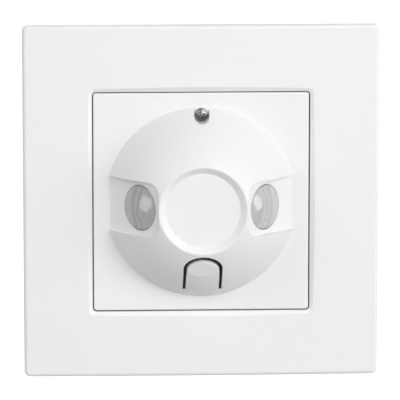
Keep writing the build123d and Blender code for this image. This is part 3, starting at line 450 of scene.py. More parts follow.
@dataclass(frozen=True)
class Metal(Finish):
    """Metal with a cloudy tone, fine scratches along one direction and worn edges."""

    scratch: Point = (1.0, 1.0, 14.0)
    scratch_scale: float = 700.0
    scratch_height: float = 0.000004
    gloss_swing: Pair = (0.75, 1.3)
    cloud_scale: float = 260.0
    cloud_amount: float = 0.22
    wear: float = 0.6
    wear_color: Color = (0.8, 0.8, 0.8)

    def dress(self, paint: Paint) -> None:
        """Adds clouding, scratches and bright edges.

        Args:
            paint: The material's nodes.
        """
        color = paint.mottled(opaque(self.color), self.cloud_scale, self.cloud_amount)
        stretched = paint.add("Mapping", Scale=self.scratch, Vector=paint.place)
        lines = paint.noise(stretched.outputs["Vector"], self.scratch_scale, 5.0)
        paint.bump(lines, self.scratch_height)
        smooth, rough = (self.roughness * share for share in self.gloss_swing)
        dull = paint.spread(lines, *NOISE_RANGE, smooth, rough)
        paint.set(Metallic=1.0, Base_Color=paint.worn(color, self.wear, self.wear_color), Roughness=dull)


@dataclass(frozen=True)
class BoardLaminate(Finish):
    """Solder mask over copper tracks on glass fibre board."""

    track_color: Color = (0.03, 0.19, 0.075)
    track_scale: float = 150.0
    track_count: float = 7.0
    track_edge: Pair = (0.34, 0.44)
    track_height: float = 0.00003
    weave_scale: float = 400.0
    weave_amount: float = 0.15
    coat: float = 0.3
    smear_scale: float = 900.0
    smear: float = 0.15

    def dress(self, paint: Paint) -> None:
        """Adds the tracks under the mask, as raised lighter lines that bend at right angles.

        Args:
            paint: The material's nodes.
        """
        turned = paint.add("Mapping", Rotation=Facing.ROOM.value, Vector=paint.place)
        cells = paint.add("TexVoronoi")
        cells.voronoi_dimensions, cells.distance = "2D", "CHEBYCHEV"
        paint.feed(cells, Vector=turned.outputs["Vector"], Scale=self.track_scale)
        lines = paint.math("FRACT", paint.math("MULTIPLY", cells.outputs["Distance"], self.track_count))
        tracks = paint.spread(lines, *self.track_edge, 1.0, 0.0)
        base = paint.mottled(opaque(self.color), self.weave_scale, self.weave_amount)
        paint.bump(tracks, self.track_height)
        haze = paint.noise(paint.place, self.smear_scale)
        paint.set(
            Base_Color=paint.blend(tracks, base, opaque(self.track_color)),
            Coat_Weight=self.coat,
            Roughness=paint.spread(haze, *NOISE_RANGE, self.roughness, self.roughness + self.smear),
        )


@dataclass(frozen=True)
class MilkyLens(Finish):
    """Thin milky polythene: curved bands where the rings thicken it, a painted highlight and a painted shadow
    round its rim.

    Lengths are in metres in the lens's own plane: outwards from the dome's middle, and up.
    """

    side: Side = Side.LEFT
    middle: Point = (0.0, 0.0, 0.0)
    tilt: float = 0.0
    radius: float = 5.5 * MM
    focus: float = 9.0 * MM
    bands: tuple[Pair, ...] = ((0.0, 1.0), (1.0, 1.0))
    wobble_scale: float = 520.0
    wobble_reach: float = 2.6 * MM
    # Painted highlight: the place, reach, colour, soft edge and raggedness of a pale reflection of the light
    # on the lens.
    highlight_place: Pair = (-2.5 * MM, 1.0 * MM)
    highlight_reach: Pair = (1.8 * MM, 1.9 * MM)
    highlight_color: Color = (0.7, 0.7, 0.7)
    highlight_edge: Pair = (0.55, 1.15)
    highlight_ragged: float = 500.0
    # Painted shadow in the gap round the rim: the shares of the radius where it starts and is full, the share
    # above which it deepens towards the ends, its strength at the sides, and its colour as a share of the
    # lens's.
    seat: Pair = (0.90, 0.985)
    rim_shadow_ends: float = 0.7
    rim_shadow_sides: float = 0.1
    rim_shade: float = 0.4
    streaks: float = 0.3
    streak_scale: float = 1500.0
    streak_stretch: float = 0.35
    grain_scale: float = 9000.0
    grain_height: float = 0.000004
    gloss_swing: float = 0.1

    def shaded(self, share: float) -> tuple[float, float, float, float]:
        """The lens's colour at this share of its brightness."""
        return opaque(tuple(share * part for part in self.color))

    def banded(self, paint: Paint, out: Socket, up: Socket, wobble: Socket) -> Socket:
        """Draws the bands, as arcs round a point on the dome's side of the lens.

        Args:
            paint: The material's nodes.
            out: How far outwards a point is.
            up: How far up it is.
            wobble: How far the bands stray there.

        Returns:
            The bands' colour.
        """
        arc = paint.math("SUBTRACT", paint.length(paint.math("ADD", out, self.focus), up), self.focus)
        level = paint.spread(paint.math("ADD", arc, wobble), -self.radius, self.radius, 0.0, 1.0)
        ramp = paint.add("ValToRGB", Fac=level)
        ramp.color_ramp.interpolation = "EASE"
        stops = ramp.color_ramp.elements
        for index, (position, share) in enumerate(self.bands):
            stop = stops[index] if index < 2 else stops.new(position)
            stop.position, stop.color = position, self.shaded(share)
        return ramp.outputs["Color"]

    def highlighted(self, paint: Paint, out: Socket, up: Socket, wobble: Socket) -> Socket:
        """Masks the painted highlight: a pale reflection of the light on the lens's inner upper side.

        Args:
            paint: The material's nodes.
            out: How far outwards a point is.
            up: How far up it is.
            wobble: What makes the highlight's edge ragged.

        Returns:
            1 in the highlight and 0 round it.
        """
        shares = [
            paint.math("DIVIDE", paint.math("SUBTRACT", value, middle), reach)
            for value, middle, reach in zip((out, up), self.highlight_place, self.highlight_reach)
        ]
        ragged = paint.math("ADD", paint.length(*shares), paint.math("MULTIPLY", wobble, self.highlight_ragged))
        return paint.spread(ragged, *self.highlight_edge, 1.0, 0.0)

    def shadowed_rim(self, paint: Paint, out: Socket, up: Socket) -> Socket:
        """Masks the painted shadow in the gap round the lens, which is darkest above and below.

        Args:
            paint: The material's nodes.
            out: How far outwards a point is.
            up: How far up it is.

        Returns:
            How dark the painted shadow is there.
        """
        inner, outer = (self.radius * share for share in self.seat)
        ring = paint.spread(paint.length(out, up), inner, outer, 0.0, 1.0)
        high = paint.math("ABSOLUTE", up)
        ends = paint.spread(high, self.rim_shadow_ends * self.radius, self.radius, self.rim_shadow_sides, 1.0)
        return paint.math("MULTIPLY", ring, ends)

    def dress(self, paint: Paint) -> None:
        """Adds the bands, the painted highlight, the streaks, the painted rim shadow and a fine grain.

        Args:
            paint: The material's nodes.
        """
        flat = paint.add("Mapping")
        flat.vector_type = "TEXTURE"
        turn = (0.0, 0.0, self.side.value * self.tilt)
        paint.feed(flat, Vector=paint.place, Location=self.middle, Rotation=turn)
        split = paint.add("SeparateXYZ", Vector=flat.outputs["Vector"])
        out, up = paint.math("MULTIPLY", split.outputs["X"], float(self.side.value)), split.outputs["Z"]
        cloud = paint.math("SUBTRACT", paint.noise(paint.place, self.wobble_scale, 5.0), 0.5)
        wobble = paint.math("MULTIPLY", cloud, self.wobble_reach)
        bands = self.banded(paint, out, up, wobble)
        # Painted highlight: a pale reflection blended over the bands.
        color = paint.blend(self.highlighted(paint, out, up, wobble), bands, opaque(self.highlight_color))
        drawn = paint.add("Mapping", Scale=(1.0, 1.0, self.streak_stretch), Vector=paint.place)
        color = paint.mottled(color, self.streak_scale, self.streaks, drawn.outputs["Vector"])
        # Painted shade: the shadow in the gap round the rim, darkest above and below.
        paint.set(Base_Color=paint.blend(self.shadowed_rim(paint, out, up), color, self.shaded(self.rim_shade)))
        paint.grain(self.grain_scale, self.grain_height, self.gloss_swing, self.roughness)


EVEN = (1.0, 1.0, 1.0)
FRAME_PLASTIC = MouldedPlastic("frame_gloss_white", (0.85, 0.85, 0.847), 0.32, flow_amount=0.01)
DOME_PLASTIC = MouldedPlastic("dome_satin_white", (0.84, 0.84, 0.838), 0.42, grain_height=0.000008)
LENS_TILT = math.radians(49)
LENS_OFFSET = 15.0 * MM
LENS_HEIGHT = 8.0 * MM + 6.9 * MM * math.tan(LENS_TILT)
# The two lenses are one material; the left one, turned from the lamps, has its colour and highlight painted
# darker than the right one's, as painted shade.
LEFT_LENS = MilkyLens(
    "lens_left_polythene_painted_shade",
    (0.54, 0.54, 0.54),
    0.3,
    side=Side.LEFT,
    middle=(-LENS_OFFSET, -LENS_HEIGHT, 0.0),
    tilt=LENS_TILT,
    bands=((0.0, 0.93), (0.30, 0.95), (0.44, 1.04), (0.54, 0.82), (0.64, 1.06), (0.76, 0.84), (0.9, 1.1)),
    highlight_place=(-2.4 * MM, 1.1 * MM),
    highlight_reach=(2.1 * MM, 2.1 * MM),
    highlight_color=(0.81, 0.81, 0.81),
)
RIGHT_LENS = MilkyLens(
    "lens_right_polythene_painted_light",
    (0.59, 0.59, 0.59),
    0.3,
    side=Side.RIGHT,
    middle=(LENS_OFFSET, -LENS_HEIGHT, 0.0),
    tilt=LENS_TILT,
    bands=((0.0, 0.95), (0.28, 0.92), (0.40, 1.12), (0.52, 0.94), (0.64, 1.1), (0.74, 0.95), (0.86, 1.14)),
    highlight_place=(-3.2 * MM, 1.6 * MM),
    highlight_reach=(1.5 * MM, 2.1 * MM),
    highlight_color=(0.85, 0.85, 0.85),
)
CARRIER_PLASTIC = MouldedPlastic("carrier_natural_white", (0.66, 0.66, 0.64), 0.5, flow_amount=0.06)
HOUSING_PLASTIC = MouldedPlastic("housing_pale_grey", (0.56, 0.56, 0.54), 0.5, flow_amount=0.08, wear=0.3)
BLACK_PLASTIC = MouldedPlastic(
    "component_black", (0.018, 0.018, 0.019), 0.45, wear=0.35, wear_color=(0.08, 0.08, 0.08)
)
RELAY_BLUE = MouldedPlastic("relay_blue_case", (0.02, 0.09, 0.30), 0.35, wear=0.3, wear_color=(0.2, 0.3, 0.5))
FILM_YELLOW = MouldedPlastic("film_capacitor_yellow", (0.62, 0.36, 0.03), 0.4, wear=0.3)
FUSE_BROWN = MouldedPlastic("fuse_brown", (0.11, 0.045, 0.02), 0.4, wear=0.3, wear_color=(0.3, 0.2, 0.12))
FERRITE = MouldedPlastic("choke_ferrite", (0.04, 0.04, 0.045), 0.6, grain_scale=2500.0, grain_height=0.00003)
VARISTOR_BLUE = MouldedPlastic(
    "varistor_lacquer", (0.03, 0.16, 0.42), 0.28, grain_scale=900.0, grain_height=0.00004
)
SLEEVE = MouldedPlastic("capacitor_sleeve", (0.02, 0.03, 0.07), 0.3)
ROTOR_PLASTIC = MouldedPlastic("rotor_ivory", (0.70, 0.64, 0.48), 0.45, wear=0.3)
CLEAR_RESIN = MouldedPlastic("lamp_resin", (0.62, 0.66, 0.62), 0.12)
# Near-black, as painted shade that makes the key's thin slot read dark.
SLOT_SHADE_BLACK = MouldedPlastic("slot_painted_shade_black", (0.008, 0.008, 0.008), 0.8, specular=0.2)
DARK_WINDOW = MouldedPlastic("sensor_filter", (0.02, 0.012, 0.016), 0.1, grain_height=0.000002)
ZINC_STEEL = Metal("zinc_plated_steel", (0.52, 0.52, 0.50), 0.34)
SCREW_STEEL = Metal("screw_steel", (0.36, 0.36, 0.37), 0.26, scratch=EVEN, scratch_scale=1400.0)
# Painted shade: steel darker than the other screws', standing in for the shade of the deep notch that the
# cover screw sits in.
NOTCH_SHADE_STEEL = Metal(
    "screw_steel_painted_notch_shade", (0.17, 0.17, 0.175), 0.22, scratch=EVEN, wear_color=(0.6, 0.6, 0.6)
)
CAN_STEEL = Metal("sensor_can_nickel", (0.62, 0.60, 0.56), 0.22)
BRASS = Metal("brass", (0.66, 0.46, 0.20), 0.3, wear_color=(0.85, 0.66, 0.36))
COPPER = Metal("enamelled_copper", (0.62, 0.24, 0.09), 0.26, wear=0.1, wear_color=(0.8, 0.4, 0.2))
SOLDER = Metal("solder", (0.60, 0.60, 0.58), 0.3, scratch=EVEN, wear=0.1)
BOARD = BoardLaminate("board_green", (0.012, 0.11, 0.045), 0.3)


def dress(finish: Finish, *nodes: str) -> None:
    """Gives CAD nodes their finish; their meshes and places stay.

    Args:
        finish: What they are made of.
        nodes: The nodes' names.
    """
    for node in nodes:
        slots = frame["nodes"][node].data.materials
        slots.clear()
        slots.append(finish.material())
        LOG.info("%s keeps its CAD mesh, in %s", node, finish.name)


def new_object(name: str, data: bpy.types.ID) -> Piece:
    """Puts an object into the scene.

    Args:
        name: Its name.
        data: Its mesh, lamp or camera.

    Returns:
        The object, at the origin.
    """
    made = bpy.data.objects.new(name, data)
    bpy.context.scene.collection.objects.link(made)
    return made


def settle(piece: Piece, body: str = BODY, stands_for: Sequence[str] = ()) -> None:
    """Sets a finished piece on its body.

    Args:
        piece: The piece, at the origin, unturned and unscaled.
        body: The CAD body that it moves with.
        stands_for: The CAD nodes that it replaces.
    """
    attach(piece, body)
    if stands_for:
        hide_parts(*stands_for)
    LOG.info("%s rides on %s", piece.name, body)


def mesh_piece(
    name: str, points: Sequence[Point], faces: Faces, finish: Finish, crease: float = math.radians(32)
) -> Piece:
    """Makes a mesh object with smooth faces and sharp creases.

    Args:
        name: The piece's name.
        points: Its corners.
        faces: Its faces, as rows of corners.
        finish: What it is made of.
        crease: The angle between two faces from which their edge is sharp.

    Returns:
        The piece.
    """
    mesh = bpy.data.meshes.new(name)
    mesh.from_pydata(points, [], faces)
    mesh.update()
    mesh.materials.append(finish.material())
    mesh.shade_smooth()
    mesh.set_sharp_from_angle(angle=crease)
    return new_object(name, mesh)


class RepeatTree(Group):
    """A geometry node tree that sets a made shape on every point of a mesh, with named inputs."""

    prefix: str = "GeometryNode"

    def __init__(self, name: str, inputs: Sockets) -> None:
        """Makes the tree and its sockets.

        Args:
            name: The tree's name.
            inputs: Each input of the shape, with its socket type and default value.
        """
        first = {"Geometry": ("Geometry", None)}
        last = {"Turn": ("Vector", (0.0, 0.0, 0.0)), "Material": ("Material", None)}
        result = {"Result": ("Geometry", None)}
        super().__init__(name, {**first, **inputs, **last}, result, "GeometryNodeTree")

    def close(self, shape: Socket) -> None:
        """Ends the tree: the shape on every point, made real, in its material.

        Args:
            shape: The shape's geometry.
        """
        placed = self.add(
            "InstanceOnPoints", Points=self.given("Geometry"), Instance=shape, Rotation=self.given("Turn")
        )
        real = self.add("RealizeInstances", Geometry=placed.outputs["Instances"])
        smooth = self.add("SetShadeSmooth", Geometry=real.outputs["Geometry"])
        finish = self.given("Material")
        painted = self.add("SetMaterial", Geometry=smooth.outputs["Geometry"], Material=finish)
        self.feed(self.result, Result=painted.outputs["Geometry"])

    def run(
        self, name: str, points: Iterable[Point], finish: Finish, turn: Facing, **inputs: object
    ) -> Piece:
        """Runs the tree on some points and keeps the result as a plain mesh.

        Args:
            name: The name of the new piece.
            points: Where each copy goes.
            finish: What the piece is made of.
            turn: Which way each copy faces.
            inputs: Values for the tree's own inputs.

        Returns:
            The piece, at the origin, with no modifier.
        """
        seed = bpy.data.meshes.new(name + "_points")
        seed.from_pydata(list(points), [], [])
        carrier = new_object(name + "_points", seed)
        modifier = carrier.modifiers.new("repeat", "NODES")
        modifier.node_group = self.tree
        for key, value in {**inputs, "Turn": turn.value, "Material": finish.material()}.items():
            modifier[self.ids[key]] = value
        carrier.update_tag()
        bpy.context.view_layer.update()
        depsgraph = bpy.context.evaluated_depsgraph_get()
        mesh = bpy.data.meshes.new_from_object(carrier.evaluated_get(depsgraph), depsgraph=depsgraph)
        mesh.name = name
        mesh.set_sharp_from_angle(angle=REPEAT_CREASE)
        bpy.data.objects.remove(carrier)
        bpy.data.meshes.remove(seed)
        return new_object(name, mesh)


def coil_tree() -> RepeatTree:
    """Makes the tree of a wire or a thread's ridge wound round an axis.

    Returns:
        The tree.
    """
    sizes = {"Radius": ("Float", 0.001), "Pitch": ("Float", 0.0005), "Turns": ("Float", 8.0)}
    section = {"Wire": ("Float", 0.0001), "Sides": ("Int", 6), "Steps": ("Int", 28)}
    tree = RepeatTree("wound_coil", {**sizes, **section})
    line = tree.add(
        "CurveSpiral",
        Resolution=tree.given("Steps"),
        Rotations=tree.given("Turns"),
        Start_Radius=tree.given("Radius"),
        End_Radius=tree.given("Radius"),
        Height=tree.math("MULTIPLY", tree.given("Pitch"), tree.given("Turns")),
    )
    ring = tree.add("CurvePrimitiveCircle", Resolution=tree.given("Sides"), Radius=tree.given("Wire"))
    curves = {"Curve": line.outputs["Curve"], "Profile_Curve": ring.outputs["Curve"]}
    tree.close(tree.add("CurveToMesh", **curves, Fill_Caps=True).outputs["Mesh"])
    return tree


def block_tree() -> RepeatTree:
    """Makes the tree of a small block with softened edges, for ribs, chip resistors and their ends.

    Returns:
        The tree.
    """
    sizes = {"Size": ("Vector", (0.001, 0.001, 0.001)), "Crease": ("Float", 0.85), "Level": ("Int", 2)}
    tree = RepeatTree("small_block", sizes)
    block = tree.add("MeshCube", Size=tree.given("Size")).outputs["Mesh"]
    edges = {"Level": tree.given("Level"), "Edge_Crease": tree.given("Crease")}
    tree.close(tree.add("SubdivisionSurface", Mesh=block, **edges).outputs["Mesh"])
    return tree


def joint_tree() -> RepeatTree:
    """Makes the tree of a solder joint: a cone with its tip cut off.

    Returns:
        The tree.
    """
    sizes = {"Foot": ("Float", 0.0008), "Tip": ("Float", 0.0003), "Height": ("Float", 0.0006)}
    tree = RepeatTree("solder_joint", {**sizes, "Sides": ("Int", 14), "Rings": ("Int", 3)})
    cone = tree.add(
        "MeshCone",
        Vertices=tree.given("Sides"),
        Side_Segments=tree.given("Rings"),
        Radius_Top=tree.given("Tip"),
        Radius_Bottom=tree.given("Foot"),
        Depth=tree.given("Height"),
    )
    tree.close(cone.outputs["Mesh"])
    return tree


@dataclass(frozen=True)
class Coil:
    """Sizes of a winding or a thread's ridge."""

    radius: float
    pitch: float
    turns: float
    wire: float
    sides: int

    def wind(self, coils: RepeatTree, name: str, places: Iterable[Point], finish: Finish) -> Piece:
        """Winds one coil from every place, into the wall.

        Args:
            coils: The tree that winds.
            name: The new piece's name.
            places: Where each coil starts.
            finish: What it is made of.

        Returns:
            The piece.
        """
        sizes = {"Radius": self.radius, "Pitch": self.pitch, "Turns": self.turns}
        section = {"Wire": self.wire, "Sides": self.sides}
        return coils.run(name, places, finish, Facing.WALL, **sizes, **section)


@dataclass(frozen=True)
class Joint:
    """Sizes of a solder joint."""

    foot: float
    tip: float
    height: float

    def solder(self, joints: RepeatTree, name: str, places: Iterable[Point]) -> None:
        """Sets a joint on every place, as one piece of this name."""
        sizes = {"Foot": self.foot, "Tip": self.tip, "Height": self.height}
        settle(joints.run(name, places, SOLDER, Facing.ROOM, **sizes))


@dataclass
class Cover:
    """The cover frame and the insert plate in its window."""

    finish: Finish = FRAME_PLASTIC

    def build(self) -> None:
        """Dresses both plates."""
        dress(self.finish, "outer_frame", "insert_plate")


def lathe_faces(segments: int, rings: int) -> Faces:
    """Lists the faces of a closed turned shape.

    Args:
        segments: How many points each ring has.
        rings: How many rings there are between the pole that comes first and the one that comes last.

    Returns:
        The faces, as rows of points.
    """
    faces: Faces = []
    for step in range(segments):
        faces.append((0, 1 + step, 1 + (step + 1) % segments))
    for ring in range(rings - 1):
        start = 1 + ring * segments
        for step in range(segments):
            here, there = start + step, start + (step + 1) % segments
            faces.append((here, here + segments, there + segments, there))
    start = 1 + (rings - 1) * segments
    for step in range(segments):
        faces.append((start + (step + 1) % segments, start + step, start + segments))
    return faces


@dataclass
class LensPair:
    """Both lenses with ridged faces: the same bodies and ears as the CAD's, drawn finer."""

    wall: float = 1.6 * MM
    radius: float = 5.48 * MM
    bulge: float = 0.6 * MM
    ridge_pitch: float = 0.9 * MM
    ridge_depth: float = 0.06 * MM
    ridge_focus: float = 9.0 * MM
    ridge_fade: float = 0.12
    ear_reach: float = 4.5 * MM
    ear_radius: float = 2.5 * MM
    ear_thickness: float = 0.8 * MM
    ear_edge: float = 0.12 * MM
    rings: int = 46
    segments: int = 144
    crease: float = math.radians(40)

    def place(self, side: Side, out: float, up: float, rise: float) -> Point:
        """Finds a point of a lens.

        Args:
            side: Which lens it is on.
            out: How far outwards it is.
            up: How far up it is.
            rise: How far in front of the lens's plane it is.

        Returns:
            The point in the CAD's frame.
        """
        across = side.value * (LENS_OFFSET + out * math.cos(LENS_TILT) + rise * math.sin(LENS_TILT))
        depth = -LENS_HEIGHT + out * math.sin(LENS_TILT) - rise * math.cos(LENS_TILT)
        return (across, depth, up)

    def rise(self, out: float, up: float) -> float:
        """Finds the height of the ridged face.

        Args:
            out: How far outwards a point is.
            up: How far up it is.

        Returns:
            How far the face stands in front of the lens's plane there.
        """
        reach = math.hypot(out, up)
        sphere = (self.radius**2 + self.bulge**2) / (2 * self.bulge)
        level = math.sqrt(sphere**2 - reach**2) - (sphere - self.bulge)
        ridge = (math.hypot(out + self.ridge_focus, up) / self.ridge_pitch) % 1.0
        fade = min(1.0, max(0.0, (self.radius - reach) / (self.ridge_fade * self.radius)))
        return level - self.ridge_depth * ridge * fade

    def disc(self, side: Side) -> tuple[list[Point], Faces]:
        """Draws the closed body of one lens: the ridged face, its side and its back.

        Args:
            side: Which lens it is.

        Returns:
            Its points and its faces.
        """
        back = -self.wall - self.ear_edge
        turns = [2 * math.pi * step / self.segments for step in range(self.segments)]
        points = [self.place(side, 0.0, 0.0, self.rise(0.0, 0.0))]
        for ring in range(1, self.rings + 1):
            reach = self.radius * ring / self.rings
            for angle in turns:
                out, up = reach * math.cos(angle), reach * math.sin(angle)
                points.append(self.place(side, out, up, self.rise(out, up)))
        for angle in turns:
            out, up = self.radius * math.cos(angle), self.radius * math.sin(angle)
            points.append(self.place(side, out, up, back))
        points.append(self.place(side, 0.0, 0.0, back))
        return points, lathe_faces(self.segments, self.rings + 1)

    def ear_outline(self, inset: float) -> list[Pair]:
        """Draws the slot shape of the ears.

        Args:
            inset: How far it is drawn in.

        Returns:
            Its points, outwards and up.
        """
        half = self.segments // 2
        reach = self.ear_radius - inset
        line = []
        for end in (1, -1):
            for step in range(half):
                angle = math.pi * step / (half - 1) + (0.0 if end > 0 else math.pi)
                line.append((reach * math.cos(angle), end * self.ear_reach + reach * math.sin(angle)))
        return line

    def ears(self, side: Side) -> tuple[list[Point], Faces]:
        """Draws the closed plate of one lens's ears, with softened edges.

        Args:
            side: Which lens it is.

        Returns:
            Its points and its faces.
        """
        front, back = -self.wall, -self.wall - self.ear_thickness
        levels = (
            (self.ear_edge, front),
            (0.0, front - self.ear_edge),
            (0.0, back + self.ear_edge),
            (self.ear_edge, back),
        )
        points = [self.place(side, 0.0, 0.0, front)]
        for inset, level in levels:
            points += [self.place(side, out, up, level) for out, up in self.ear_outline(inset)]
        points.append(self.place(side, 0.0, 0.0, back))
        return points, lathe_faces(self.segments, len(levels))

    def build(self) -> None:
        """Makes each lens with its ears as one mesh and sets it in place of the CAD's."""
        for side, finish in ((Side.LEFT, LEFT_LENS), (Side.RIGHT, RIGHT_LENS)):
            points, faces = self.disc(side)
            more_points, more_faces = self.ears(side)
            shift = len(points)
            faces += [tuple(corner + shift for corner in face) for face in more_faces]
            if side is Side.LEFT:
                faces = [tuple(reversed(face)) for face in faces]
            word = side.name.lower()
            piece = mesh_piece(f"lens_{word}_ridged", points + more_points, faces, finish, self.crease)
            settle(piece, stands_for=[f"lens_{word}"])


@dataclass(frozen=True)
class Flank:
    """The dome's bulging flank: an arc from its foot to its rim, turned about the middle."""

    foot_radius: float = 23.2 * MM
    foot_height: float = 8.0 * MM
    rim_radius: float = 10.5 * MM
    top_height: float = 22.0 * MM
    bulge: float = 1.6 * MM

    def circle(self) -> tuple[float, float, float]:
        """Finds the circle that the arc is part of.

        Returns:
            Its centre, as a distance from the middle and a height, and its radius.
        """
        across = self.rim_radius - self.foot_radius
        rise = self.top_height - self.foot_height
        span = math.hypot(across, rise)
        arc = (span**2 / 4 + self.bulge**2) / (2 * self.bulge)
        middle_across = (self.rim_radius + self.foot_radius) / 2 + rise / span * (self.bulge - arc)
        middle_up = (self.top_height + self.foot_height) / 2 - across / span * (self.bulge - arc)
        return middle_across, middle_up, arc

    def height(self, radius: float, sink: float = 0.0) -> float:
        """The height of the surface that lies this far under the flank."""
        middle_across, middle_up, arc = self.circle()
        return middle_up + math.sqrt((arc - sink) ** 2 - (radius - middle_across) ** 2)

    def outward(self, radius: float) -> Vector:
        """Which way the flank faces at this radius, straight below the middle."""
        middle_across, middle_up, _ = self.circle()
        return Vector((0.0, middle_up - self.height(radius), middle_across - radius)).normalized()


@dataclass
class PushKey:
    """The push key: the CAD's own form, its flat face cleared of the end of the pusher behind it."""

    flank: Flank
    face_radius: float = 12.6 * MM
    face_sink: float = 0.46 * MM
    pusher_offset: float = 14.4 * MM
    pusher_radius: float = 1.36 * MM
    join: float = 0.05 * MM
    tiny: float = 0.001 * MM

    def cleared(self, form: bmesh.types.BMesh, kept: bmesh.types.BMLayerItem) -> None:
        """Presses the pusher's end back into the face, and has the whole face look outwards.

        Args:
            form: The key's merged mesh.
            kept: The layer that holds each corner's normal.
        """
        outward = self.flank.outward(self.face_radius)
        start = Vector((0.0, -self.flank.height(self.face_radius), -self.face_radius))
        start -= outward * self.face_sink
        near = [
            vertex
            for vertex in form.verts
            if math.hypot(vertex.co.x, vertex.co.z + self.pusher_offset) < self.pusher_radius
            and (vertex.co - start).dot(outward) > -self.tiny
        ]
        for vertex in near:
            vertex.co.y -= (vertex.co - start).dot(outward) / outward.y
        bmesh.ops.remove_doubles(form, verts=near, dist=self.join)
        bmesh.ops.dissolve_degenerate(form, edges=form.edges, dist=self.tiny)
        for face in form.faces:
            if all(abs((vertex.co - start).dot(outward)) < self.tiny for vertex in face.verts):
                for loop in face.loops:
                    loop[kept] = outward

    def build(self) -> None:
        """Copies the key, clears its face and keeps the CAD's shading."""
        source = frame["nodes"]["push_key"].data
        form = bmesh.new()
        form.from_mesh(source)
        kept = form.loops.layers.float_vector.new("kept_normal")
        for face, polygon in zip(form.faces, source.polygons):
            for corner, loop in enumerate(face.loops):
                loop[kept] = source.corner_normals[polygon.loop_start + corner].vector
        bmesh.ops.remove_doubles(form, verts=form.verts, dist=self.tiny / 10)
        self.cleared(form, kept)
        mesh = bpy.data.meshes.new("push_key_face")
        form.to_mesh(mesh)
        form.free()
        normals = [item.vector.copy() for item in mesh.attributes["kept_normal"].data]
        mesh.attributes.remove(mesh.attributes["kept_normal"])
        mesh.normals_split_custom_set(normals)
        mesh.materials.clear()
        mesh.materials.append(DOME_PLASTIC.material())
        settle(new_object("push_key_face", mesh), "key", ["push_key"])


@dataclass
class SlotShadeStrip:
    """Painted shade in the key's slot: a black strip along the dome's edge and a lip behind the key, which
    make the thin gap read dark.
    """

    flank: Flank
    key_half_width: float = 4.0 * MM
    key_root: float = 20.25 * MM
    key_shoulder: float = 14.55 * MM
    key_rise: float = 2.6 * MM
    outer: float = 0.68 * MM
    leg_inner: float = 0.14 * MM
    arch_inner: float = 0.42 * MM
    lip_inner: float = -0.5 * MM
    front_sink: float = 0.06 * MM
    lip_sink: float = 2.15 * MM
    back_sink: float = 2.5 * MM
    arc_steps: int = 64
    leg_steps: int = 16

    def path(self, margin: float) -> list[Point]:
        """Goes round the key, up its left leg, over the arch and down its right leg.

        Args:
            margin: How far outside the key's edge it runs.

        Returns:
            Points across and up, each with how much the edge faces up there.
        """
        half, rise = self.key_half_width + margin, self.key_rise + margin
        leg = self.key_root - self.key_shoulder
        line = []
        for step in range(self.leg_steps):
            line.append((-half, -self.key_root + step / self.leg_steps * leg, 0.0))
        for step in range(self.arc_steps + 1):
            angle = math.pi * (1 - step / self.arc_steps)
            height = -self.key_shoulder + rise * math.sin(angle)
            line.append((half * math.cos(angle), height, math.sin(angle)))
        for step in range(1, self.leg_steps + 1):
            line.append((half, -self.key_shoulder - step / self.leg_steps * leg, 0.0))
        return line

    def section(self, facing: float) -> tuple[Pair, ...]:
        """Draws the black strip's section.

        Args:
            facing: How much the key's edge faces up.

        Returns:
            Its corners: how far outside the key's edge, and how far under the flank.
        """
        inner = self.leg_inner + (self.arch_inner - self.leg_inner) * facing
        return (
            (self.outer, self.front_sink),
            (inner, self.front_sink),
            (inner, self.lip_sink),
            (self.lip_inner, self.lip_sink),
            (self.lip_inner, self.back_sink),
            (self.outer, self.back_sink),
        )

    def build(self) -> None:
        """Sweeps the black strip's section round the key."""
        middle = self.path(0.0)
        steps, width = len(middle), len(self.section(0.0))
        points = []
        for step in range(steps):
            for margin, sink in self.section(middle[step][2]):
                x, z, _ = self.path(margin)[step]
                points.append((x, -self.flank.height(math.hypot(x, z), sink), z))
        faces: Faces = []
        for start in range(0, (steps - 1) * width, width):
            for corner in range(width):
                here, there = start + corner, start + (corner + 1) % width
                faces.append((here, there, there + width, here + width))
        faces.append(tuple(reversed(range(width))))
        faces.append(tuple(range((steps - 1) * width, steps * width)))
        settle(mesh_piece("key_slot_painted_shade", points, faces, SLOT_SHADE_BLACK))


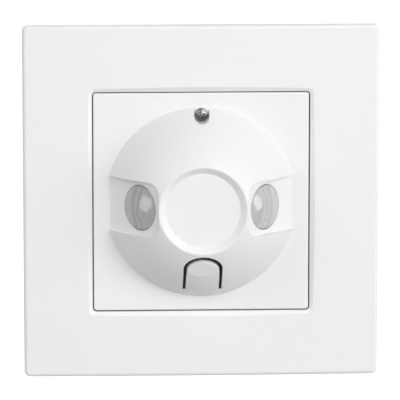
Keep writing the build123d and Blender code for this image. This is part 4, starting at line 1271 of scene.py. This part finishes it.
@dataclass
class CoverScrew:
    """The screw in the dome's notch, with a rounder head than the CAD's and a turned cross recess."""

    middle: float = 21.6 * MM
    seat: float = 9.3 * MM
    head_radius: float = 1.55 * MM
    head_height: float = 1.3 * MM
    head_sag: float = 0.52 * MM
    edge: float = 0.3 * MM
    edge_steps: int = 6
    shank_radius: float = 1.1 * MM
    shank_length: float = 6.0 * MM
    tip_chamfer: float = 0.33 * MM
    recess_width: float = 0.42 * MM
    recess_span: float = 1.75 * MM
    recess_depth: float = 0.7 * MM
    recess_slope: float = 0.1 * MM
    recess_turn: float = math.radians(24)
    rings: int = 40
    segments: int = 120
    crease: float = math.radians(35)

    def recess(self, across: float, up: float) -> float:
        """Finds the depth of the cross recess.

        Args:
            across: How far to the right of the head's middle a point is.
            up: How far above it.

        Returns:
            How deep the recess is there.
        """
        cos, sin = math.cos(self.recess_turn), math.sin(self.recess_turn)
        turned = (across * cos + up * sin, up * cos - across * sin)
        depth = 0.0
        for along, aside in (turned, turned[::-1]):
            inside = min(self.recess_span / 2 - abs(along), self.recess_width / 2 - abs(aside))
            depth = max(depth, min(1.0, max(0.0, inside / self.recess_slope)))
        return depth * self.recess_depth

    def profile(self) -> list[Pair]:
        """Draws half of the screw's outline.

        Returns:
            Radius and height of every ring, from the head's middle to the tip.
        """
        line = []
        flat = self.head_radius - self.edge
        for ring in range(1, self.rings + 1):
            radius = flat * ring / self.rings
            line.append((radius, self.head_height - self.head_sag * (radius / self.head_radius) ** 2))
        start = line[-1][1] - self.edge
        for step in range(1, self.edge_steps + 1):
            angle = math.pi / 2 * step / self.edge_steps
            line.append((flat + self.edge * math.sin(angle), start + self.edge * math.cos(angle)))
        return line + [
            (self.head_radius, 0.0),
            (self.shank_radius, 0.0),
            (self.shank_radius, self.tip_chamfer - self.shank_length),
            (self.shank_radius - self.tip_chamfer, -self.shank_length),
        ]

    def build(self) -> None:
        """Turns the screw, presses the recess in and sets it in place of the CAD's."""
        line = self.profile()
        points = [(0.0, -(self.seat + self.head_height - self.recess_depth), self.middle)]
        for radius, height in line:
            for step in range(self.segments):
                angle = 2 * math.pi * step / self.segments
                across, up = radius * math.cos(angle), radius * math.sin(angle)
                sunk = self.recess(across, up) if height > self.edge else 0.0
                points.append((across, -(self.seat + height - sunk), self.middle + up))
        points.append((0.0, -(self.seat - self.shank_length), self.middle))
        faces = lathe_faces(self.segments, len(line))
        piece = mesh_piece("cover_screw_round_head", points, faces, NOTCH_SHADE_STEEL, self.crease)
        settle(piece, stands_for=["cover_screw"])


@dataclass
class SensorHead:
    """The dome with its push key, lenses and cover screw."""

    flank: Flank = Flank()

    def build(self) -> None:
        """Dresses the dome and adds the screw, the lenses, the key and the black strip of painted shade in
        its slot.
        """
        dress(DOME_PLASTIC, "sensor_dome")
        for part in (CoverScrew(), LensPair(), PushKey(self.flank), SlotShadeStrip(self.flank)):
            part.build()


@dataclass
class SensorDeck:
    """The sensor board on the front carrier, with all that stands on it; the chips' places are in mm."""

    board_top: float = 5.0 * MM
    chip_size: Point = (1.5 * MM, 1.0 * MM, 0.5 * MM)
    end_size: Point = (0.35 * MM, 1.04 * MM, 0.46 * MM)
    end_shift: float = 0.9 * MM
    pin_count: int = 6
    pin_pitch: float = 2.0 * MM
    pin_height: float = 11.0 * MM
    joint: Joint = Joint(0.75 * MM, 0.3 * MM, 0.55 * MM)
    chips_left: tuple[Pair, ...] = ((-17, 7), (-17, 9.2), (-17, 11.4), (-15, -8), (-15, -5.8))
    chips_right: tuple[Pair, ...] = ((17, 7), (17, 9.2), (15, -8), (15, -10.2))

    def build(self, blocks: RepeatTree, joints: RepeatTree) -> None:
        """Dresses the deck's nodes and adds small parts and solder joints.

        Args:
            blocks: The tree that makes small blocks.
            joints: The tree that makes solder joints.
        """
        dress(CARRIER_PLASTIC, "carrier", "switch_body")
        dress(BOARD, "sensor_board")
        dress(BLACK_PLASTIC, "sensor_cradle", "controller_chip", "header_body")
        dress(CAN_STEEL, "pir_sensor_left", "pir_sensor_right")
        dress(DARK_WINDOW, "pir_window_left", "pir_window_right")
        dress(BRASS, "pir_pins", "header_pins")
        dress(ROTOR_PLASTIC, "switch_plunger", "trimmer_time_rotor", "trimmer_light_rotor")
        dress(RELAY_BLUE, "trimmer_time_body", "trimmer_light_body")
        dress(CLEAR_RESIN, "status_led", "light_sensor")
        dress(SCREW_STEEL, "board_screws")
        depth = -self.board_top - self.chip_size[2] / 2
        places = [(x * MM, depth, z * MM) for x, z in self.chips_left + self.chips_right]
        chips = blocks.run("chip_resistors", places, BLACK_PLASTIC, Facing.ROOM, Size=self.chip_size)
        settle(chips)
        ends = [(x + side.value * self.end_shift, y, z) for x, y, z in places for side in Side]
        caps = blocks.run("chip_resistor_ends", ends, SOLDER, Facing.ROOM, Size=self.end_size)
        settle(caps)
        middle = (self.pin_count - 1) / 2
        across = [(n - middle) * self.pin_pitch for n in range(self.pin_count)]
        pins = [(x, -self.board_top, self.pin_height) for x in across]
        self.joint.solder(joints, "header_solder", pins)


@dataclass
class WallFixing:
    """The steel support plate with its claws and their screws."""

    screw_offset: float = 23.2 * MM
    thread_start: float = 1.6 * MM
    thread: Coil = Coil(1.4 * MM, 0.5 * MM, 16.0, 0.16 * MM, 4)

    def build(self, coils: RepeatTree) -> None:
        """Dresses the steel and adds the claw screws' threads.

        Args:
            coils: The tree that winds the threads.
        """
        dress(ZINC_STEEL, "support_plate", "claw_left", "claw_right", "claw_pins")
        dress(SCREW_STEEL, "claw_screw_left", "claw_screw_right")
        places = [(side.value * self.screw_offset, self.thread_start, 0.0) for side in Side]
        settle(self.thread.wind(coils, "claw_screw_threads", places, SCREW_STEEL))


@dataclass
class RearHousing:
    """The tub of the mechanism with its terminals."""

    side_offset: float = 19.5 * MM
    rib_count: int = 7
    rib_pitch: float = 4.2 * MM
    rib_depth: float = 14.0 * MM
    rib_size: Point = (0.7 * MM, 0.9 * MM, 17.0 * MM)

    def build(self, blocks: RepeatTree) -> None:
        """Dresses the housing and adds the ribs on its flanks.

        Args:
            blocks: The tree that makes the ribs.
        """
        dress(HOUSING_PLASTIC, "housing", "terminal_block")
        dress(SCREW_STEEL, "housing_screws", "terminal_screws")
        dress(BRASS, "terminal_cages", "contact_links")
        middle = (self.rib_count - 1) / 2
        heights = [(n - middle) * self.rib_pitch for n in range(self.rib_count)]
        flanks = [side.value * self.side_offset for side in Side]
        places = [(flank, self.rib_depth, height) for flank in flanks for height in heights]
        ribs = blocks.run("housing_ribs", places, HOUSING_PLASTIC, Facing.WALL, Size=self.rib_size)
        settle(ribs)


@dataclass
class PowerDeck:
    """The power board and the parts that stand on its back; their feet's places are in mm."""

    board_front: float = 3.0 * MM
    choke_place: Point = (-12.6 * MM, 6.0 * MM, -5.9 * MM)
    winding: Coil = Coil(3.45 * MM, 0.52 * MM, 10.0, 0.26 * MM, 8)
    joint: Joint = Joint(0.9 * MM, 0.35 * MM, 0.8 * MM)
    relay_feet: tuple[Pair, ...] = ((-9.5, 19), (4.5, 19), (-9.5, 7), (4.5, 7))
    right_feet: tuple[Pair, ...] = ((10.2, 9.5), (10.2, 18.8), (10.7, 2.6), (13.7, 2.6))
    fuse_feet: tuple[Pair, ...] = ((12.6, -4), (12.6, -8))
    lower_feet: tuple[Pair, ...] = ((-14.5, -5.9), (-10.7, -5.9), (-2.9, -4.6), (2.1, -4.6))

    def build(self, coils: RepeatTree, joints: RepeatTree) -> None:
        """Dresses the parts and adds the choke's winding and the solder joints.

        Args:
            coils: The tree that winds the choke.
            joints: The tree that makes solder joints.
        """
        finishes = {
            "power_board": BOARD,
            "relay": RELAY_BLUE,
            "film_capacitor": FILM_YELLOW,
            "electrolytic_capacitor": SLEEVE,
            "fuse": FUSE_BROWN,
            "choke": FERRITE,
            "varistor": VARISTOR_BLUE,
            "rectifier": BLACK_PLASTIC,
        }
        for node, finish in finishes.items():
            dress(finish, node)
        settle(self.winding.wind(coils, "choke_winding", [self.choke_place], COPPER))
        feet = self.relay_feet + self.right_feet + self.fuse_feet + self.lower_feet
        self.joint.solder(joints, "power_board_solder", [(x * MM, self.board_front, z * MM) for x, z in feet])


def aimed(
    name: str, data: bpy.types.ID, away: Vector, distance: float, target: Point = (0.0, 0.0, 0.0)
) -> Piece:
    """Places a lamp or a camera and turns it to its target.

    Args:
        name: Its name.
        data: The lamp or camera.
        away: Which way it stands off its target.
        distance: How far it stands off.
        target: What it looks at.

    Returns:
        Its object.
    """
    made = new_object(name, data)
    made.location = Vector(target) + away * distance
    made.rotation_euler = (-away).to_track_quat("-Z", "Y").to_euler()
    return made


@dataclass(frozen=True)
class Lamp:
    """A square soft light: its angle off the front and round it, in degrees, its power and its side."""

    name: str
    angle: float
    turn: float
    power: float
    side: float

    def hang(self, distance: float) -> None:
        """Hangs the light, aimed at the switch.

        Args:
            distance: How far off it hangs.
        """
        data = bpy.data.lights.new(self.name, "AREA")
        data.shape, data.size, data.energy = "SQUARE", self.side, self.power
        angle, turn = math.radians(self.angle), math.radians(self.turn)
        round_it = math.sin(angle)
        away = Vector((round_it * math.cos(turn), -math.cos(angle), round_it * math.sin(turn)))
        aimed(self.name, data, away, distance)


@dataclass
class Studio:
    """The pale floor, the soft light and the camera."""

    elevation: float = math.radians(9.5)
    yaw: float = math.radians(-2.5)
    distance: float = 0.9
    target: Point = (-0.2 * MM, -6.2 * MM, 0.15 * MM)
    pixels_per_mm: float = 4.125
    image_side: float = 400.0
    sensor: float = 36.0
    clip: Pair = (0.01, 20.0)
    ambient: float = 0.265
    lamp_distance: float = 3.0
    lamps: tuple[Lamp, ...] = (
        Lamp("soft_key", 36, 50, 43.0, 1.8),
        Lamp("soft_right", 55, 5, 38.5, 1.8),
        Lamp("soft_fill", 56, 145, 23.0, 1.8),
        Lamp("soft_back", 135, 14, 26.0, 2.0),
    )
    floor_drop: float = 0.15
    floor_reach: float = 6.0
    floor_tone: Pair = (0.54, 0.58)
    floor_scale: float = 3.0
    floor_glow: float = 0.78

    def camera(self) -> None:
        """Sets the camera at the photograph's viewing angle."""
        data = bpy.data.cameras.new("camera")
        data.sensor_width = self.sensor
        data.lens = self.sensor * self.distance / (self.image_side / self.pixels_per_mm * MM)
        data.clip_start, data.clip_end = self.clip
        level = math.cos(self.elevation)
        back = Vector((math.sin(self.yaw) * level, -math.cos(self.yaw) * level, math.sin(self.elevation)))
        bpy.context.scene.camera = aimed("camera", data, back, self.distance, self.target)

    def seen(self, nodes: Nodes) -> Socket:
        """Masks the rays that show the background itself: seen, mirrored or through glass.

        Args:
            nodes: The nodes of the world or the floor.

        Returns:
            1 for those rays and 0 for all others.
        """
        path = nodes.add("LightPath")
        some = nodes.math("MAXIMUM", path.outputs["Is Camera Ray"], path.outputs["Is Glossy Ray"])
        return nodes.math("MAXIMUM", some, path.outputs["Is Transmission Ray"])

    def world(self) -> None:
        """Fills the room with even light and shows white where it is seen."""
        world = bpy.data.worlds.new("room")
        bpy.context.scene.world = world
        nodes = Nodes(emptied(world))
        strength = nodes.spread(self.seen(nodes), 0.0, 1.0, self.ambient, 1.0)
        room = nodes.add("Background", Color=WHITE, Strength=strength)
        nodes.add("OutputWorld", Surface=room.outputs["Background"])

    def floor_paint(self) -> bpy.types.Material:
        """Makes the floor's material: white where it is seen, grey to the light, clear from below.

        Returns:
            The material.
        """
        paint = bpy.data.materials.new("pale_floor")
        nodes = Nodes(emptied(paint))
        cloud = nodes.noise(nodes.add("TexCoord").outputs["Object"], self.floor_scale)
        tone = nodes.spread(cloud, *NOISE_RANGE, *self.floor_tone)
        grey = nodes.add("CombineColor", Red=tone, Green=tone, Blue=tone)
        diffuse = nodes.add("BsdfDiffuse", Color=grey.outputs["Color"])
        strength = nodes.math("MULTIPLY", self.seen(nodes), self.floor_glow)
        glow = nodes.add("Emission", Color=WHITE, Strength=strength)
        both = nodes.add("AddShader")
        nodes.put(both.inputs[0], diffuse.outputs["BSDF"])
        nodes.put(both.inputs[1], glow.outputs["Emission"])
        under = nodes.add("MixShader")
        nodes.put(under.inputs[0], nodes.add("NewGeometry").outputs["Backfacing"])
        nodes.put(under.inputs[1], both.outputs["Shader"])
        nodes.put(under.inputs[2], nodes.add("BsdfTransparent").outputs["BSDF"])
        nodes.add("OutputMaterial", Surface=under.outputs["Shader"])
        return paint

    def floor(self) -> None:
        """Lays the pale floor, which keeps the shadow."""
        lowest = CAD_BOX[0].z - self.floor_drop
        corners = ((-1, -1), (1, -1), (1, 1), (-1, 1))
        mesh = bpy.data.meshes.new("floor")
        points = [(x * self.floor_reach, y * self.floor_reach, lowest) for x, y in corners]
        mesh.from_pydata(points, [], [(0, 1, 2, 3)])
        mesh.materials.append(self.floor_paint())
        new_object("floor", mesh)

    def build(self) -> None:
        """Sets up the studio."""
        bpy.context.scene.view_settings.view_transform = "Standard"
        self.world()
        self.floor()
        for lamp in self.lamps:
            lamp.hang(self.lamp_distance)
        self.camera()


def main() -> None:
    """Builds every sub-assembly in order, then the studio."""
    logging.basicConfig(level=logging.INFO, format="%(message)s")
    coils, blocks, joints = coil_tree(), block_tree(), joint_tree()
    Cover().build()
    SensorHead().build()
    SensorDeck().build(blocks, joints)
    WallFixing().build(coils)
    RearHousing().build(blocks)
    PowerDeck().build(coils, joints)
    Studio().build()


if __name__ == "__main__":
    main()
